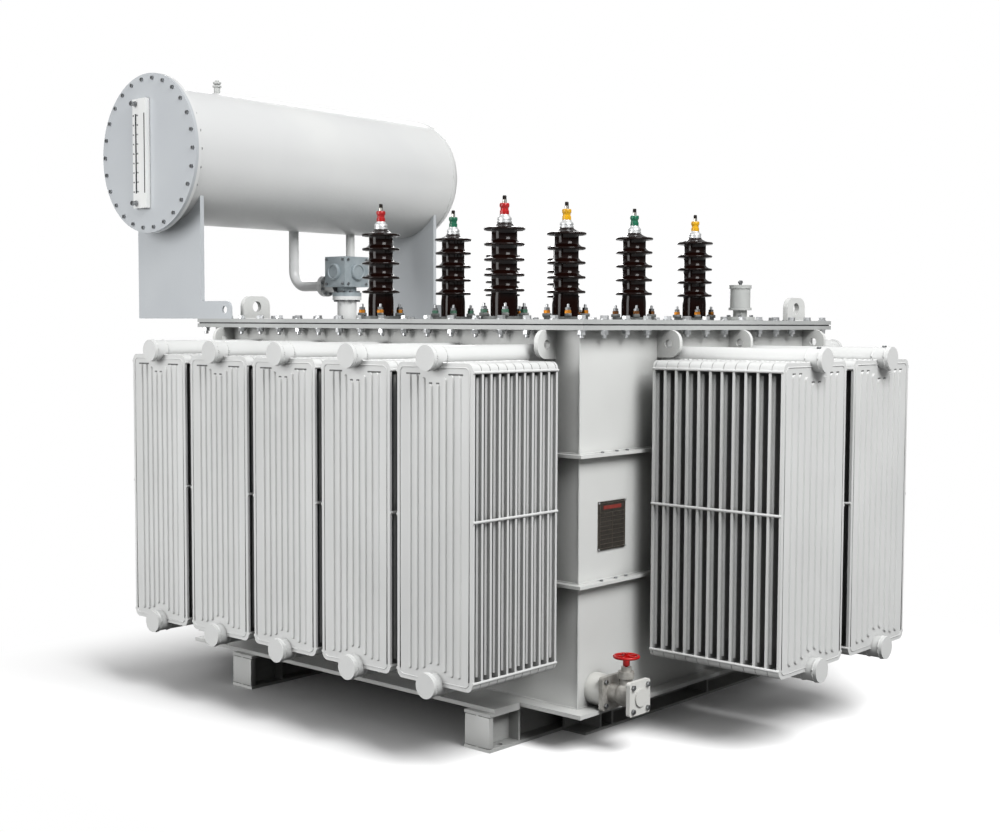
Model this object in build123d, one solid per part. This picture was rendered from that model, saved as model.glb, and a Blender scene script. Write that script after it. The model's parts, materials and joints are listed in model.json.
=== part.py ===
from build123d import *
import math
import os

# Oil-filled power transformer with plate radiators and a conservator, in millimetres.
# The origin is on the ground under the middle of the whole object, +Z is up,
# +X points to the end wall with the drain valve and -Y to the front radiators.
# Distances called "from the end" start at that end wall and run towards the conservator.
# Distances called "from the front" start at the front wall and run towards the back wall.

# Tank
TANK_LENGTH = 2815
TANK_WIDTH = 2200
TANK_WALL = 12
TANK_TOP = 2051
BELT_PROJECTION = 50
BELT_THICKNESS = 16
LOWER_BELT = 807
UPPER_BELT = 1438

# Bolted rim and cover
RIM_OVERHANG = 80
RIM_INNER_LIP = 40
FLANGE_THICKNESS = 22
GASKET_THICKNESS = 7
GASKET_INSET = 8
COVER_THICKNESS = 22

# Base plate and skids
BASE_THICKNESS = 20
BASE_OVERHANG = 88
BASE_WING_INSET = 130
BASE_WING_SETBACK = 35
SKID_HEIGHT = 190
SKID_WIDTH = 170
SKID_OVERHANG = 308
SKID_FLANGE = 16
SKID_WEB = 14
VALVE_END_SKID_INSET = 380
CONSERVATOR_END_SKID_INSET = 615
SKID_END_RECESS = 28
SKID_RIB_STEP = 200
SKID_RIB_INSET = 14
SKID_RIB_THICKNESS = 12
FOUNDATION_HOLE = 36
FOUNDATION_HOLE_INSET = 110
SIDE_BEAM_WIDTH = 150
SIDE_BEAM_FLANGE = 14
SIDE_BEAM_INSET = 250
SIDE_BEAM_FIRST_RIB = 118
SIDE_BEAM_RIB_STEP = 98
SIDE_BEAM_BACK_RIB = 600

# Radiators
PANEL_LOW = 418
PANEL_HIGH = 1902
PANEL_THICKNESS = 14
PANEL_CORNER = 34
PANEL_HEAD_HEIGHT = 40
PANEL_HEAD_GAP = 3
PANEL_MID_TIE = 1190
HEADER_LOW = 422
HEADER_HIGH = 1925
END_HEADER_DROP = 14
HEADER_DIAMETER = 112
HEADER_CAP_DIAMETER = 118
HEADER_CAP_THICKNESS = 22
HEADER_CAP_REACH = 60
TIE_DIAMETER = 14
FLUTE_COUNT = 8
FLUTE_DEPTH = 8
FLUTE_DRAFT = 30
FLUTE_SHARE = 0.6
FLUTE_EDGE = 60
FLUTE_END = 52
FLUTE_DIP = 56
FRONT_RADIATORS = 5
FRONT_PANEL_GAP = 50
FRONT_ROW_INSET = 36
FRONT_ROW_CLEAR = 179
FRONT_FINS = 11
FRONT_FIN_PITCH = 58
FRONT_REACH = 716
END_RADIATORS = 2
END_PANEL_GAP = 75
END_ROW_FRONT_CLEAR = 428.5
END_ROW_BACK_CLEAR = 508.5
END_FINS = 12
END_FIN_PITCH = 66
END_REACH = 860

# Conservator
CONSERVATOR_OFFSET = 365
CONSERVATOR_RISE = 1001
CONSERVATOR_RADIUS = 415
CONSERVATOR_WALL = 8
CONSERVATOR_PLATE_RADIUS = 480
CONSERVATOR_PLATE_THICKNESS = 20
CONSERVATOR_FRONT_REACH = 223
CONSERVATOR_LENGTH = 2260
CONSERVATOR_DISH_DEPTH = 150
CONSERVATOR_KNUCKLE = 90
SUPPORT_WIDTH = 642
SUPPORT_THICKNESS = 14
SUPPORT_LIP = 28
FRONT_SUPPORT_INSET = 143
BACK_SUPPORT_INSET = 107
ARM_HEIGHT = 105
ARM_DEPTH = 70
ARM_WALL = 12
ARM_TIP_INSET = 244
ARM_EYE_LENGTH = 118
ARM_EYE_ROUND = 44
ARM_EYE = 46

# Conservator fittings
GAUGE_LENGTH = 660
GAUGE_WIDTH = 66
GAUGE_THICKNESS = 26
GAUGE_GLASS_WIDTH = 16
GAUGE_GLASS_LENGTH = 480
GAUGE_GLASS_RECESS = 2
GAUGE_GLASS_THICKNESS = 10
GAUGE_GUARD_WIDTH = 74
GAUGE_GUARD_DEPTH = 30
GAUGE_GUARD_WALL = 8
GAUGE_OFFSET = -88
FILLER_INSET = 523
FILLER_DIAMETER = 46
FILLER_CAP_DIAMETER = 64
FILLER_HEIGHT = 85
FILLER_CAP_HEIGHT = 36

# Gas relay between the cover and the conservator
RELAY_INSET = 80
RELAY_OFFSET = -106
RISER_DIAMETER = 124
RISER_HEIGHT = 150
RELAY_FLANGE_DIAMETER = 188
RELAY_FLANGE_THICKNESS = 24
RELAY_NECK_HEIGHT = 36
RELAY_WIDTH = 190
RELAY_DEPTH = 210
RELAY_HEIGHT = 195
WINDOW_DIAMETER = 104
WINDOW_DEPTH = 14
RELAY_PIPE_DIAMETER = 60
RELAY_PIPE_BEND = 70
RELAY_PIPE_STEP = 60
RELAY_PIPE_BACK = 438
ELBOW_PIPE_DIAMETER = 66
ELBOW_NECK_DIAMETER = 84
ELBOW_NECK_LENGTH = 90
ELBOW_BEND = 110
ELBOW_FLANGE_DIAMETER = 140
ELBOW_FLANGE_THICKNESS = 36
ELBOW_RISE = 10
ELBOW_OFFSET = -83

# Bushings, in two rows of four that run from front to back
ROW_A_FROM_END = 560
ROW_A_FRONT_INSET = 83
ROW_A_FIRST_PITCH = 499
ROW_A_PITCH = 605
ROW_A_SLEEVES = ("red", "yellow", "green", "yellow")
ROW_B_FROM_END = 1440
ROW_B_FRONT_INSET = 63
ROW_B_PITCH = 572
ROW_B_MIDDLE_PITCH = 431
ROW_B_SLEEVES = ("red", "green", "yellow", "green")
CLAMP_DIAMETER = 236
CLAMP_THICKNESS = 16
PORCELAIN_DIAMETER = 130
PORCELAIN_FOOT_DIAMETER = 138
SHED_DIAMETER = 206
SHED_COUNT = 5
SHED_PITCH = 77
SHED_THICKNESS = 10
SHED_DROOP = 16
FIRST_SHED = 140
PORCELAIN_HEIGHT = 487
TOP_SHED_DIAMETER = 212
TERMINAL_CAP_DIAMETER = 74
TERMINAL_CAP_HEIGHT = 41
TERMINAL_STUD_DIAMETER = 26
TERMINAL_STUD_HEIGHT = 96
STUD_TIP_DIAMETER = 22
STUD_GROOVE_DIAMETER = 18
STUD_GROOVE_HEIGHT = 4
SLEEVE_DIAMETER = 50
SLEEVE_HEIGHT = 58

# Lifting lugs and the pressure relief device
COVER_LUG_WIDTH = 200
COVER_LUG_HEIGHT = 135
COVER_LUG_ROUND = 60
COVER_LUG_EYE_HEIGHT = 72
COVER_LUG_THICKNESS = 30
COVER_LUG_EYE = 64
FRONT_LUG_END_INSET = 249
FRONT_LUG_FRONT_INSET = 100
BACK_LUG_END_INSET = 70
BACK_LUG_BACK_INSET = 91
TANK_LUG_REACH = 140
TANK_LUG_HEIGHT = 140
TANK_LUG_THICKNESS = 24
TANK_LUG_EYE = 44
TANK_LUG_ROUND = 60
TANK_LUG_FROM_END = 160
END_LUG_OFFSET = 84
CORNER_LUG_INSET = 100
RELIEF_FROM_END = 240
RELIEF_BACK_INSET = 410
RELIEF_DIAMETER = 116
RELIEF_FLANGE_DIAMETER = 170
RELIEF_FLANGE_THICKNESS = 22
RELIEF_NECK_DIAMETER = 80
RELIEF_NECK_HEIGHT = 38
RELIEF_RING_DIAMETER = 132
RELIEF_RING_THICKNESS = 15
RELIEF_LID_DIAMETER = 128
RELIEF_LID_THICKNESS = 20
RELIEF_HEIGHT = 205

# Nameplate and drain valve on the end wall
NAMEPLATE_WIDTH = 215
NAMEPLATE_HEIGHT = 240
NAMEPLATE_THICKNESS = 8
NAMEPLATE_FROM_FRONT = 255
NAMEPLATE_CENTRE = 1090
VALVE_FROM_FRONT = 131
STUB_DIAMETER = 160
STUB_BASE_GAP = 2
FLANGE_BASE_GAP = 4
VALVE_FLANGE_SIZE = 165
VALVE_FLANGE_THICKNESS = 22
VALVE_FLANGE_CORNER = 14
VALVE_BODY_DIAMETER = 96
VALVE_GLOBE_DIAMETER = 118
VALVE_FACE_TO_FACE = 164
BONNET_SHIFT = 10
BONNET_DIAMETER = 62
BONNET_HEIGHT = 138
BONNET_COLLAR_DIAMETER = 78
BONNET_COLLAR_HEIGHT = 34
GLAND_DIAMETER = 50
GLAND_HEIGHT = 22
BLIND_BOSS_DIAMETER = 84
BLIND_BOSS_HEIGHT = 8
WHEEL_DIAMETER = 132
WHEEL_RIM = 14
WHEEL_SPOKE = 10
WHEEL_SPOKES = 5
WHEEL_HUB_DIAMETER = 34
WHEEL_HUB_HEIGHT = 50
WHEEL_CLEARANCE = 6
STEM_DIAMETER = 16
STEM_DEPTH = 30
STEM_RUNNING_GAP = 0.3

# Levels and places that follow from the sizes above
base_top = SKID_HEIGHT + BASE_THICKNESS
flange_top = TANK_TOP + FLANGE_THICKNESS
gasket_top = flange_top + GASKET_THICKNESS
cover_top = gasket_top + COVER_THICKNESS
y_front = -TANK_WIDTH / 2
y_back = TANK_WIDTH / 2
near_reach = END_REACH + HEADER_CAP_REACH
far_reach = TANK_LENGTH + CONSERVATOR_OFFSET + CONSERVATOR_PLATE_RADIUS
x_near = (far_reach - near_reach) / 2
x_far = x_near - TANK_LENGTH


def from_end(distance):
    return x_near - distance


def from_front(distance):
    return y_front + distance


def block(x_range, y_range, z_range):
    """A box between two faces along each axis."""
    ranges = (x_range, y_range, z_range)
    middle = [(low + high) / 2 for low, high in ranges]
    size = [high - low for low, high in ranges]
    return Pos(*middle) * Box(*size)


def rod(start, end, diameter):
    """A round bar from one point to another."""
    along = Vector(*end) - Vector(*start)
    seat = Plane(origin=start, z_dir=along)
    return seat * Cylinder(diameter / 2, along.length, align=(Align.CENTER, Align.CENTER, Align.MIN))


def turned(profile):
    """A piece turned about Z from (radius, height) points."""
    outline = Plane.XZ * make_face(Polyline(*profile, close=True))
    return revolve(outline, Axis.Z)


def pipe_along(points, bend, diameter):
    """A round pipe along straight runs joined by bends."""
    path = FilletPolyline(*points, radius=bend)
    start = Plane(origin=path @ 0, z_dir=path % 0)
    return sweep(start * Circle(diameter / 2), path)


def save(node, *solids):
    shape = solids[0] if len(solids) == 1 else Compound(children=list(solids))
    export_step(shape, os.path.join("parts", node + ".step"))


def rim_frame(overhang, lip, z_range):
    """A flat frame on top of the tank walls."""
    outer = block((x_far - overhang, x_near + overhang), (y_front - overhang, y_back + overhang), z_range)
    inset = TANK_WALL + lip
    inner = block((x_far + inset, x_near - inset), (y_front + inset, y_back - inset), z_range)
    return outer - inner


def make_tank():
    walls = (base_top, TANK_TOP)
    save("tank_front_wall", block((x_far, x_near), (y_front, y_front + TANK_WALL), walls))
    save("tank_back_wall", block((x_far, x_near), (y_back - TANK_WALL, y_back), walls))
    between = (y_front + TANK_WALL, y_back - TANK_WALL)
    save("tank_valve_end_wall", block((x_near - TANK_WALL, x_near), between, walls))
    save("tank_conservator_end_wall", block((x_far, x_far + TANK_WALL), between, walls))
    belts = []
    for height in (LOWER_BELT, UPPER_BELT):
        z_range = (height, height + BELT_THICKNESS)
        reach = BELT_PROJECTION
        outer = block((x_far - reach, x_near + reach), (y_front - reach, y_back + reach), z_range)
        belts.append(outer - block((x_far, x_near), (y_front, y_back), z_range))
    save("tank_stiffener_belts", *belts)


def make_rim():
    save("tank_flange", rim_frame(RIM_OVERHANG, RIM_INNER_LIP, (TANK_TOP, flange_top)))
    save("cover_gasket", rim_frame(RIM_OVERHANG - GASKET_INSET, RIM_INNER_LIP, (flange_top, gasket_top)))
    reach = RIM_OVERHANG
    cover_x = (x_far - reach, x_near + reach)
    save("cover_plate", block(cover_x, (y_front - reach, y_back + reach), (gasket_top, cover_top)))


def make_base():
    """The base plate, with wings over the skids that stop short of the skid ends."""
    z_range = (SKID_HEIGHT, base_top)
    edge = BASE_OVERHANG
    main = block((x_far - edge, x_near + edge), (y_front - edge, y_back + edge), z_range)
    wing_x = (x_far + BASE_WING_INSET, from_end(VALVE_END_SKID_INSET) + SKID_WIDTH / 2)
    wing_reach = SKID_OVERHANG - BASE_WING_SETBACK
    wings = block(wing_x, (y_front - wing_reach, y_back + wing_reach), z_range)
    save("tank_base_plate", main + wings)


def skid(middle, outward):
    """An I-section skid along Y, with recessed end plates, ribs and one foundation hole at each end."""
    y_end = TANK_WIDTH / 2 + SKID_OVERHANG
    along = (-y_end, y_end)
    x_range = (middle - SKID_WIDTH / 2, middle + SKID_WIDTH / 2)
    low = block(x_range, along, (0, SKID_FLANGE))
    high = block(x_range, along, (SKID_HEIGHT - SKID_FLANGE, SKID_HEIGHT))
    web_z = (SKID_FLANGE, SKID_HEIGHT - SKID_FLANGE)
    beam = low + high + block((middle - SKID_WEB / 2, middle + SKID_WEB / 2), along, web_z)
    rib_x = (x_range[0] + SKID_RIB_INSET, x_range[1] - SKID_RIB_INSET)
    for distance in (SKID_END_RECESS, SKID_END_RECESS + SKID_RIB_STEP):
        rib_end = y_end - distance
        beam += block(rib_x, (-rib_end, SKID_RIB_THICKNESS - rib_end), web_z)
        beam += block(rib_x, (rib_end - SKID_RIB_THICKNESS, rib_end), web_z)
    hole_x = middle + outward * (SKID_WIDTH + SKID_WEB) / 4
    for side in (-1, 1):
        hole_y = side * (y_end - FOUNDATION_HOLE_INSET)
        beam -= rod((hole_x, hole_y, 0), (hole_x, hole_y, SKID_FLANGE), FOUNDATION_HOLE)
    return beam


def side_beam(middle, outward):
    """A channel beside a skid, under the base plate, open away from the skid."""
    skid_face = middle + outward * SKID_WIDTH / 2
    outer = skid_face + outward * SIDE_BEAM_WIDTH
    along = (y_front + SIDE_BEAM_INSET, y_back - SIDE_BEAM_INSET)
    wall = SIDE_BEAM_FLANGE
    x_range = (min(skid_face, outer), max(skid_face, outer))
    beam = block(x_range, along, (0, wall)) + block(x_range, along, (SKID_HEIGHT - wall, SKID_HEIGHT))
    web = (min(skid_face, skid_face + outward * wall), max(skid_face, skid_face + outward * wall))
    beam += block(web, along, (wall, SKID_HEIGHT - wall))
    first_rib = along[0] + SIDE_BEAM_FIRST_RIB
    for y in (first_rib, first_rib + SIDE_BEAM_RIB_STEP, along[1] - SIDE_BEAM_BACK_RIB):
        beam += block(x_range, (y, y + wall), (wall, SKID_HEIGHT - wall))
    return beam


def make_skids():
    places = {"valve_end": (x_near - VALVE_END_SKID_INSET, 1)}
    places["conservator_end"] = (x_far + CONSERVATOR_END_SKID_INSET, -1)
    for name, (middle, outward) in places.items():
        save(f"{name}_skid", skid(middle, outward))
        save(f"{name}_side_beam", side_beam(middle, outward))


def panel_plane(y):
    middle = (PANEL_LOW + PANEL_HIGH) / 2
    return Plane(origin=(0, y, middle), x_dir=(1, 0, 0), z_dir=(0, -1, 0))


def plain_panel(width, y_outer):
    """A flat radiator panel with rounded corners, its outer face at Y = y_outer."""
    face = RectangleRounded(width, PANEL_HIGH - PANEL_LOW, PANEL_CORNER)
    return extrude(panel_plane(y_outer) * face, -PANEL_THICKNESS)


def panel_heads(width, y_outer, depth):
    """The widened top and bottom of a panel, which close the gap to the next panel."""
    height = PANEL_HIGH - PANEL_LOW
    face = RectangleRounded(width, height, PANEL_CORNER) - Rectangle(width, height - 2 * PANEL_HEAD_HEIGHT)
    return extrude(panel_plane(y_outer) * face, -depth)


def fluted_panel(width, y_outer):
    """The outermost radiator panel, with raised flutes that dip round the headers."""
    panel = plain_panel(width, y_outer)
    outer_plane = panel_plane(y_outer)
    pitch = (width - 2 * FLUTE_EDGE) / FLUTE_COUNT
    half = pitch * FLUTE_SHARE / 2
    flutes = []
    for number in range(FLUTE_COUNT):
        x = -width / 2 + FLUTE_EDGE + (number + 0.5) * pitch
        dip = FLUTE_DIP * max(0, 1 - abs(x) / (2 * pitch))
        top = (PANEL_HIGH - PANEL_LOW) / 2 - FLUTE_END - dip
        outline = Pos(x, 0) * Rot(0, 0, 90) * SlotOverall(2 * top, 2 * half)
        flutes.append(extrude(outer_plane * outline, FLUTE_DEPTH, taper=FLUTE_DRAFT))
    return panel + flutes


def radiator(width, fin_count, fin_pitch, reach, header_high):
    """One radiator against a wall at Y = 0, reaching towards -Y, centred on X = 0."""
    outer = -reach
    inner = outer + (fin_count - 1) * fin_pitch + PANEL_THICKNESS
    pieces = [fluted_panel(width, outer)]
    for fin in range(fin_count - 1):
        pieces.append(panel_heads(width, outer + fin * fin_pitch, fin_pitch - PANEL_HEAD_GAP))
        pieces.append(plain_panel(width, outer + (fin + 1) * fin_pitch))
    for z in (HEADER_LOW, header_high):
        cap_back = outer - HEADER_CAP_REACH + HEADER_CAP_THICKNESS
        pieces.append(rod((0, 0, z), (0, cap_back, z), HEADER_DIAMETER))
        pieces.append(rod((0, cap_back, z), (0, outer - HEADER_CAP_REACH, z), HEADER_CAP_DIAMETER))
    for x in (-width / 2, width / 2):
        for z in (PANEL_LOW + PANEL_HEAD_HEIGHT, PANEL_MID_TIE, PANEL_HIGH - PANEL_HEAD_HEIGHT):
            pieces.append(rod((x, outer, z), (x, inner, z), TIE_DIAMETER))
    return pieces[0] + pieces[1:]


def row_of(count, gap, room):
    """The panel width that fills a row, and the distance of each panel's middle from the row's start."""
    width = (room - (count - 1) * gap) / count
    return width, [width / 2 + number * (width + gap) for number in range(count)]


def end_row():
    """The panel width on the end wall, and the places of its radiators along Y."""
    room = TANK_WIDTH - END_ROW_FRONT_CLEAR - END_ROW_BACK_CLEAR
    width, distances = row_of(END_RADIATORS, END_PANEL_GAP, room)
    return width, [from_front(END_ROW_FRONT_CLEAR + distance) for distance in distances]


def make_radiators():
    """A row of radiators that fills each long side, and one on the end wall with the drain valve."""
    room = TANK_LENGTH - FRONT_ROW_INSET - FRONT_ROW_CLEAR
    front_width, distances = row_of(FRONT_RADIATORS, FRONT_PANEL_GAP, room)
    front = radiator(front_width, FRONT_FINS, FRONT_FIN_PITCH, FRONT_REACH, HEADER_HIGH)
    for number, distance in enumerate(distances):
        x = from_end(FRONT_ROW_INSET + distance)
        save(f"front_radiator_{number + 1}", Pos(x, y_front, 0) * front)
        save(f"back_radiator_{number + 1}", Pos(x, y_back, 0) * Rot(0, 0, 180) * front)
    end_width, places = end_row()
    header_high = HEADER_HIGH - END_HEADER_DROP
    end = radiator(end_width, END_FINS, END_FIN_PITCH, END_REACH, header_high)
    for number, y in enumerate(places):
        save(f"end_radiator_{number + 1}", Pos(x_near, y, 0) * Rot(0, 0, 90) * end)


conservator_x = x_far - CONSERVATOR_OFFSET
conservator_z = cover_top + CONSERVATOR_RISE
conservator_front = from_front(-CONSERVATOR_FRONT_REACH)
conservator_seat = conservator_front + CONSERVATOR_PLATE_THICKNESS
conservator_back = conservator_front + CONSERVATOR_LENGTH


def conservator_plane(y):
    """A plane across the conservator, with its normal towards the back."""
    return Plane(origin=(conservator_x, y, conservator_z), x_dir=(-1, 0, 0), z_dir=(0, 1, 0))


def disc(y, thickness, radius, bore=0):
    face = Circle(radius)
    if bore:
        face -= Circle(bore)
    return extrude(conservator_plane(y) * face, thickness)


def make_conservator():
    inner = CONSERVATOR_RADIUS - CONSERVATOR_WALL
    length = conservator_back - conservator_seat
    save("conservator_shell", disc(conservator_seat, length, CONSERVATOR_RADIUS, inner))
    thickness = CONSERVATOR_PLATE_THICKNESS
    save("conservator_end_plate", disc(conservator_front, thickness, CONSERVATOR_PLATE_RADIUS))
    ring = disc(conservator_seat, thickness, CONSERVATOR_PLATE_RADIUS, CONSERVATOR_RADIUS)
    save("conservator_flange_ring", ring)
    save("conservator_dished_end", dished_end())


def dome(radius, depth, knuckle):
    """A solid dished form on Z = 0: a knuckle arc at the rim, tangent to a crown arc over the axis."""
    crown = (radius**2 - 2 * radius * knuckle + depth**2) / (2 * (depth - knuckle))
    meeting = math.degrees(math.atan2(crown - depth, radius - knuckle))
    knuckle_arc = CenterArc((radius - knuckle, 0), knuckle, 0, meeting)
    crown_arc = CenterArc((0, depth - crown), crown, meeting, 90 - meeting)
    axis = Line((0, depth), (0, 0))
    foot = Line((0, 0), (radius, 0))
    return revolve(Plane.XZ * make_face([knuckle_arc, crown_arc, axis, foot]), Axis.Z)


def dished_end():
    """A hollow dished head on the back end of the conservator."""
    sizes = (CONSERVATOR_RADIUS, CONSERVATOR_DISH_DEPTH, CONSERVATOR_KNUCKLE)
    hollow = dome(*[size - CONSERVATOR_WALL for size in sizes])
    return conservator_plane(conservator_back) * (dome(*sizes) - hollow)


def conservator_core():
    """The full round of the conservator, for trimming what meets it."""
    return disc(conservator_front, CONSERVATOR_LENGTH, CONSERVATOR_RADIUS)


def support(y):
    """A saddle plate with lips along its upright edges, on an arm that ends in an eye on the cover."""
    half = SUPPORT_WIDTH / 2
    x_range = (conservator_x - half, conservator_x + half)
    z_range = (cover_top, conservator_z)
    bracket = block(x_range, (y, y + SUPPORT_THICKNESS), z_range)
    for edge in (x_range[0], x_range[1] - SUPPORT_THICKNESS):
        bracket += block((edge, edge + SUPPORT_THICKNESS), (y, y + SUPPORT_LIP), z_range)
    bracket -= conservator_core()
    arm_end = x_far + ARM_TIP_INSET - ARM_EYE_LENGTH
    arm_x = (x_range[0], arm_end)
    arm_top = cover_top + ARM_HEIGHT
    arm = block(arm_x, (y, y + ARM_DEPTH), (cover_top, arm_top))
    arm -= block(arm_x, (y + ARM_WALL, y + ARM_DEPTH), (cover_top + ARM_WALL, arm_top - ARM_WALL))
    eye_face = Rectangle(ARM_EYE_LENGTH, ARM_HEIGHT, align=(Align.MIN, Align.MIN))
    eye_face = fillet(eye_face.vertices().sort_by(Axis.X)[-2:].sort_by(Axis.Y)[-1], ARM_EYE_ROUND)
    eye_face -= Pos(ARM_EYE_LENGTH / 2, ARM_HEIGHT / 2) * Circle(ARM_EYE / 2)
    eye_plane = Plane(origin=(arm_end, y, cover_top), x_dir=(1, 0, 0), z_dir=(0, -1, 0))
    return bracket + arm + extrude(eye_plane * eye_face, -ARM_WALL)


def make_supports():
    save("conservator_front_support", support(conservator_front + FRONT_SUPPORT_INSET))
    save("conservator_back_support", support(conservator_back - BACK_SUPPORT_INSET))


def make_level_gauge():
    """A sight gauge on the conservator end plate: a body with a glass, and a channel guard beside it."""
    middle = conservator_x + GAUGE_OFFSET
    z_range = (conservator_z - GAUGE_LENGTH / 2, conservator_z + GAUGE_LENGTH / 2)
    body_x = (middle - GAUGE_WIDTH / 2, middle + GAUGE_WIDTH / 2)
    face = conservator_front - GAUGE_THICKNESS
    body = block(body_x, (face, conservator_front), z_range)
    glass_x = (middle - GAUGE_GLASS_WIDTH / 2, middle + GAUGE_GLASS_WIDTH / 2)
    half_glass = GAUGE_GLASS_LENGTH / 2
    glass_z = (conservator_z - half_glass, conservator_z + half_glass)
    glass_y = (face + GAUGE_GLASS_RECESS, face + GAUGE_GLASS_RECESS + GAUGE_GLASS_THICKNESS)
    body -= block(glass_x, (face, glass_y[1]), glass_z)
    guard_x = (body_x[1], body_x[1] + GAUGE_GUARD_WIDTH)
    guard_face = conservator_front - GAUGE_GUARD_DEPTH
    wall = GAUGE_GUARD_WALL
    guard = block(guard_x, (guard_face, conservator_front), z_range)
    guard -= block((guard_x[0] + wall, guard_x[1] - wall), (guard_face + wall, conservator_front), z_range)
    save("level_gauge_body", body + guard)
    save("level_gauge_glass", block(glass_x, glass_y, glass_z))


def make_filler():
    """A filling neck with a screwed cap on top of the conservator."""
    y = conservator_front + FILLER_INSET
    crown = conservator_z + CONSERVATOR_RADIUS
    cap_low = crown + FILLER_HEIGHT - FILLER_CAP_HEIGHT
    axis_foot = (conservator_x, y, conservator_z)
    neck = rod(axis_foot, (conservator_x, y, cap_low), FILLER_DIAMETER) - conservator_core()
    cap = rod((conservator_x, y, cap_low), (conservator_x, y, crown + FILLER_HEIGHT), FILLER_CAP_DIAMETER)
    save("filler_neck", neck + cap)


def make_relay():
    """A gas relay on a riser from the cover, with two pipes to the conservator."""
    x = x_far + RELAY_INSET
    y = RELAY_OFFSET
    ring = RELAY_FLANGE_THICKNESS
    riser_top = cover_top + RISER_HEIGHT
    riser = rod((x, y, cover_top), (x, y, riser_top - ring), RISER_DIAMETER)
    riser += rod((x, y, riser_top - ring), (x, y, riser_top), RELAY_FLANGE_DIAMETER)
    save("relay_riser", riser)
    box_low = riser_top + ring + RELAY_NECK_HEIGHT
    box_high = box_low + RELAY_HEIGHT
    x_range = (x - RELAY_WIDTH / 2, x + RELAY_WIDTH / 2)
    y_range = (y - RELAY_DEPTH / 2, y + RELAY_DEPTH / 2)
    relay = rod((x, y, riser_top), (x, y, riser_top + ring), RELAY_FLANGE_DIAMETER)
    relay += rod((x, y, riser_top + ring), (x, y, box_low), RISER_DIAMETER)
    relay += block(x_range, y_range, (box_low, box_high))
    box_middle = (box_low + box_high) / 2
    reach = RELAY_DEPTH / 2 + WINDOW_DEPTH
    relay += rod((x, y - reach, box_middle), (x, y + reach, box_middle), WINDOW_DIAMETER)
    window_end = (x_range[1] + WINDOW_DEPTH, y, box_middle)
    relay += rod((x, y, box_middle), window_end, WINDOW_DIAMETER)
    save("gas_relay", relay)
    inside = conservator_z - CONSERVATOR_RADIUS / 2
    elbow_z = box_low + ELBOW_RISE
    elbow_x = conservator_x + ELBOW_OFFSET
    neck_x = x_range[0] - ELBOW_NECK_LENGTH
    flange_x = neck_x - ELBOW_FLANGE_THICKNESS
    elbow_route = [(elbow_x, y, inside), (elbow_x, y, elbow_z), (flange_x, y, elbow_z)]
    elbow = pipe_along(elbow_route, ELBOW_BEND, ELBOW_PIPE_DIAMETER) - conservator_core()
    elbow += rod((flange_x, y, elbow_z), (neck_x, y, elbow_z), ELBOW_FLANGE_DIAMETER)
    elbow += rod((neck_x, y, elbow_z), (x_range[0], y, elbow_z), ELBOW_NECK_DIAMETER)
    turn_y = y + reach + RELAY_PIPE_STEP
    rise_y = y + RELAY_PIPE_BACK
    back_route = [(x, y + reach, box_middle), (x, turn_y, box_middle)]
    back_route += [(conservator_x, rise_y, box_middle), (conservator_x, rise_y, inside)]
    back_pipe = pipe_along(back_route, RELAY_PIPE_BEND, RELAY_PIPE_DIAMETER) - conservator_core()
    save("relay_pipes", elbow, back_pipe)


def clamp_ring():
    ring = Circle(CLAMP_DIAMETER / 2) - Circle(PORCELAIN_FOOT_DIAMETER / 2)
    return extrude(ring, CLAMP_THICKNESS)


def porcelain():
    """A glazed insulator with drooping sheds, the top one wider, standing on Z = 0."""
    body = PORCELAIN_DIAMETER / 2
    foot = PORCELAIN_FOOT_DIAMETER / 2
    profile = [(0, 0), (foot, 0), (foot, FIRST_SHED - SHED_DROOP)]
    for number in range(SHED_COUNT):
        last = number == SHED_COUNT - 1
        rim = (TOP_SHED_DIAMETER if last else SHED_DIAMETER) / 2
        low = FIRST_SHED + number * SHED_PITCH
        profile.append((body, low + SHED_DROOP / 2))
        profile.append((rim, low))
        profile.append((rim, low + SHED_THICKNESS))
        shoulder = TERMINAL_CAP_DIAMETER / 2 if last else body
        profile.append((shoulder, PORCELAIN_HEIGHT if last else low + SHED_THICKNESS + SHED_DROOP))
    profile.append((0, PORCELAIN_HEIGHT))
    return turned(profile)


def terminal():
    """The metal cap on a porcelain, and the stud with a grooved tip that the line is clamped to."""
    cap = TERMINAL_CAP_DIAMETER / 2
    stud = TERMINAL_STUD_DIAMETER / 2
    cap_high = PORCELAIN_HEIGHT + TERMINAL_CAP_HEIGHT
    stud_high = cap_high + TERMINAL_STUD_HEIGHT
    neck = SLEEVE_DIAMETER / 2
    tip = STUD_TIP_DIAMETER / 2
    groove = STUD_GROOVE_DIAMETER / 2
    groove_low = cap_high + SLEEVE_HEIGHT
    groove_high = groove_low + STUD_GROOVE_HEIGHT
    profile = [(0, PORCELAIN_HEIGHT), (cap, PORCELAIN_HEIGHT)]
    profile += [(cap, PORCELAIN_HEIGHT + TERMINAL_CAP_HEIGHT / 2), (neck, cap_high), (stud, cap_high)]
    profile += [(stud, groove_low), (groove, groove_low), (groove, groove_high), (tip, groove_high)]
    profile += [(tip, stud_high), (0, stud_high)]
    return turned(profile)


def sleeve():
    """A coloured phase sleeve round the stud, seated on the metal cap."""
    low = PORCELAIN_HEIGHT + TERMINAL_CAP_HEIGHT
    face = Circle(SLEEVE_DIAMETER / 2) - Circle(TERMINAL_STUD_DIAMETER / 2)
    return Pos(0, 0, low) * extrude(face, SLEEVE_HEIGHT)


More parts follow.
